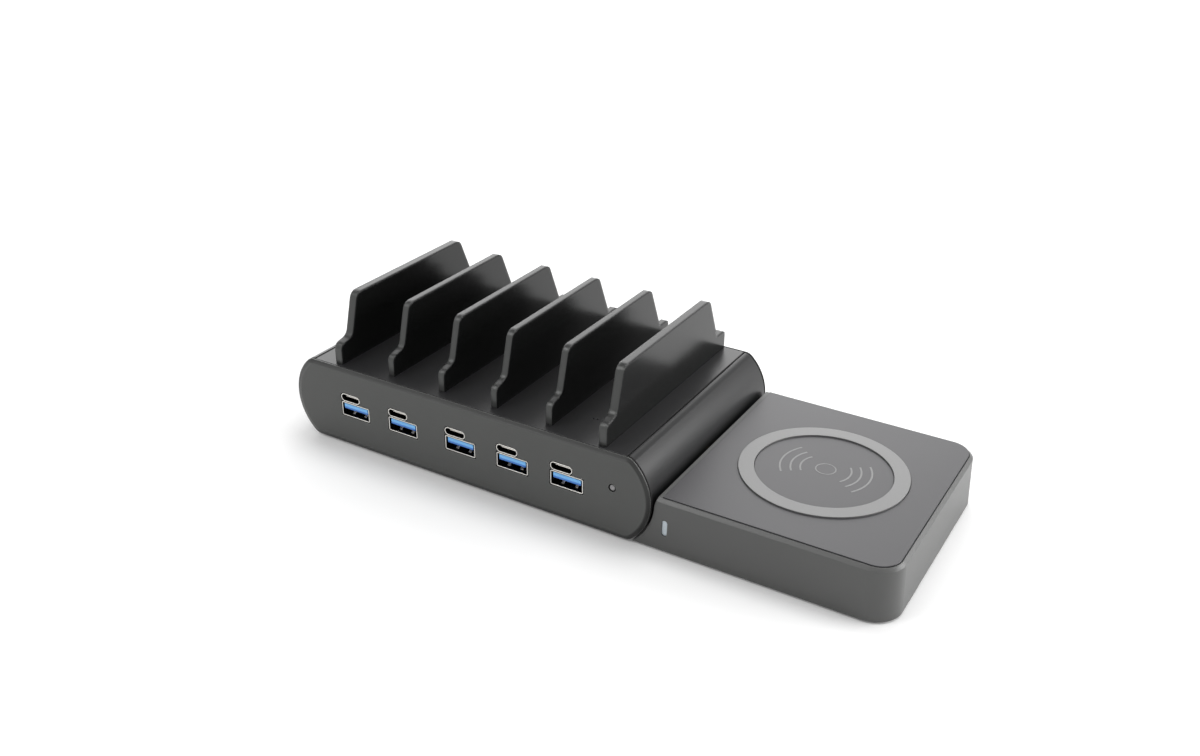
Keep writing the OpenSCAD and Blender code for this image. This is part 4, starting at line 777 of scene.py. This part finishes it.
def ink_arc(mesh, centre, radii, first, last, steps, low):
    """A band between two radii, from the first to the last angle in degrees."""
    inner, outer = radii
    corners = ((inner, low), (outer, low), (outer, low + INK_T), (inner, low + INK_T))
    rings = []
    for k in range(steps + 1):
        angle = math.radians(first + (last - first) * k / steps)
        ray = Vector((math.cos(angle), math.sin(angle), 0))
        rings.append([mesh.verts.new((centre + ray * r + Vector((0, 0, z))) * MM) for r, z in corners])
    for a, b in zip(rings, rings[1:]):
        for i in range(len(corners)):
            j = (i + 1) % len(corners)
            mesh.faces.new((a[i], a[j], b[j], b[i]))
    if abs(last - first) < FULL_TURN:
        mesh.faces.new(rings[0][::-1])
        mesh.faces.new(rings[-1])


ink = bmesh.new()
mark_centre = Vector((RING_X + MARK_SHIFT[0], MARK_SHIFT[1], 0))
ink_arc(ink, mark_centre, DOT_RADII, 0, FULL_TURN, DOT_STEPS, PAD_Z)
for radius in WAVE_RADII:
    for side in (0, HALF_TURN):
        ink_arc(ink, mark_centre, (radius - WAVE_HALF_W, radius + WAVE_HALF_W),
                side - WAVE_REACH, side + WAVE_REACH, WAVE_STEPS, PAD_Z)
finished_piece("wave_mark", ink, "ring_silver", "pad")

# %% [markdown]
# The charge indicator beside the sockets is a small milky dome in a dark ring.
# A sphere cut in half would leave tiny faces at its top. The dome is built in rings of
# points from the rim to the top instead, each ring a little smaller and further forward,
# and closed with one point. Its flat base is the one face that isn't shaded smooth.

# %% Indicator dome
DOME_RINGS, DOME_STEPS = 6, 32
DOME_R, DOME_H, DOME_IN = 1.08, 0.36, 0.3


def dome(mesh, centre, radius, height):
    rows = []
    for k in range(DOME_RINGS):
        tilt = math.pi / 2 * k / DOME_RINGS
        row = []
        for i in range(DOME_STEPS):
            turn = 2 * math.pi * i / DOME_STEPS
            out = Vector((math.cos(turn) * radius * math.cos(tilt), -height * math.sin(tilt),
                          math.sin(turn) * radius * math.cos(tilt)))
            row.append(mesh.verts.new((centre + out) * MM))
        rows.append(row)
    top = mesh.verts.new((centre + Vector((0, -height, 0))) * MM)
    for a, b in zip(rows, rows[1:]):
        for i in range(DOME_STEPS):
            j = (i + 1) % DOME_STEPS
            mesh.faces.new((a[i], a[j], b[j], b[i]))
    for i in range(DOME_STEPS):
        mesh.faces.new((rows[-1][i], rows[-1][(i + 1) % DOME_STEPS], top))
    mesh.faces.new(rows[0])


cap = bmesh.new()
dome(cap, Vector((LIGHT_X, FACE_Y + DOME_IN, LIGHT_Z)), DOME_R, DOME_H)
dome_piece = finished_piece("indicator_dome", cap, "dome_plastic", "station")
for face in dome_piece.data.polygons:
    face.use_smooth = len(face.vertices) < DOME_STEPS

# %% [markdown]
# The power switch at the back carries the usual two signs, a bar for on and a ring for
# off. The rocker's face is bent, and flat signs would cut into it, so each corner of a
# sign is dropped onto the rocker's own mesh by a ray and lifted by the ink's thickness.

# %% Signs on the rocker
SIGN_STEPS = 32
SIGN_OUT = 4.2
SIGN_R, RING_HOLE_R = 1.25, 0.9
BAR_HALF_W = 0.22
BAR_CORE = (0.02, 1.0)
RAY_START = HALF_D + 10.0


def drop_to(node, spot, lift):
    """The point of a node straight in front of a spot, lifted by some millimetres."""
    start = Vector((spot.x, RAY_START, spot.y)) * MM
    hit, normal = node.ray_cast(start, Vector((0, -1, 0)))[1:3]
    return hit + normal * lift * MM


def sign(mesh, node, inner, outer):
    rows = [[mesh.verts.new(drop_to(node, spot, lift)) for spot in line] for line, lift in
            ((inner, 0.0), (outer, 0.0), (outer, INK_T), (inner, INK_T))]
    for a, b in zip(rows, rows[1:] + rows[:1]):
        for i in range(SIGN_STEPS):
            j = (i + 1) % SIGN_STEPS
            mesh.faces.new((a[i], a[j], b[j], b[i]))


def oval(centre, half_w, half_h):
    turns = [2 * math.pi * i / SIGN_STEPS for i in range(SIGN_STEPS)]
    return [centre + Vector((math.cos(turn) * half_w, math.sin(turn) * half_h)) for turn in turns]


rocker = nodes["switch_rocker"]
signs = bmesh.new()
off_at, on_at = Vector((ROCKER_X, MID_Z - SIGN_OUT)), Vector((ROCKER_X, MID_Z + SIGN_OUT))
sign(signs, rocker, oval(off_at, RING_HOLE_R, RING_HOLE_R), oval(off_at, SIGN_R, SIGN_R))
sign(signs, rocker, oval(on_at, *BAR_CORE), oval(on_at, BAR_HALF_W, SIGN_R))
finished_piece("rocker_signs", signs, "ring_silver", "rocker")
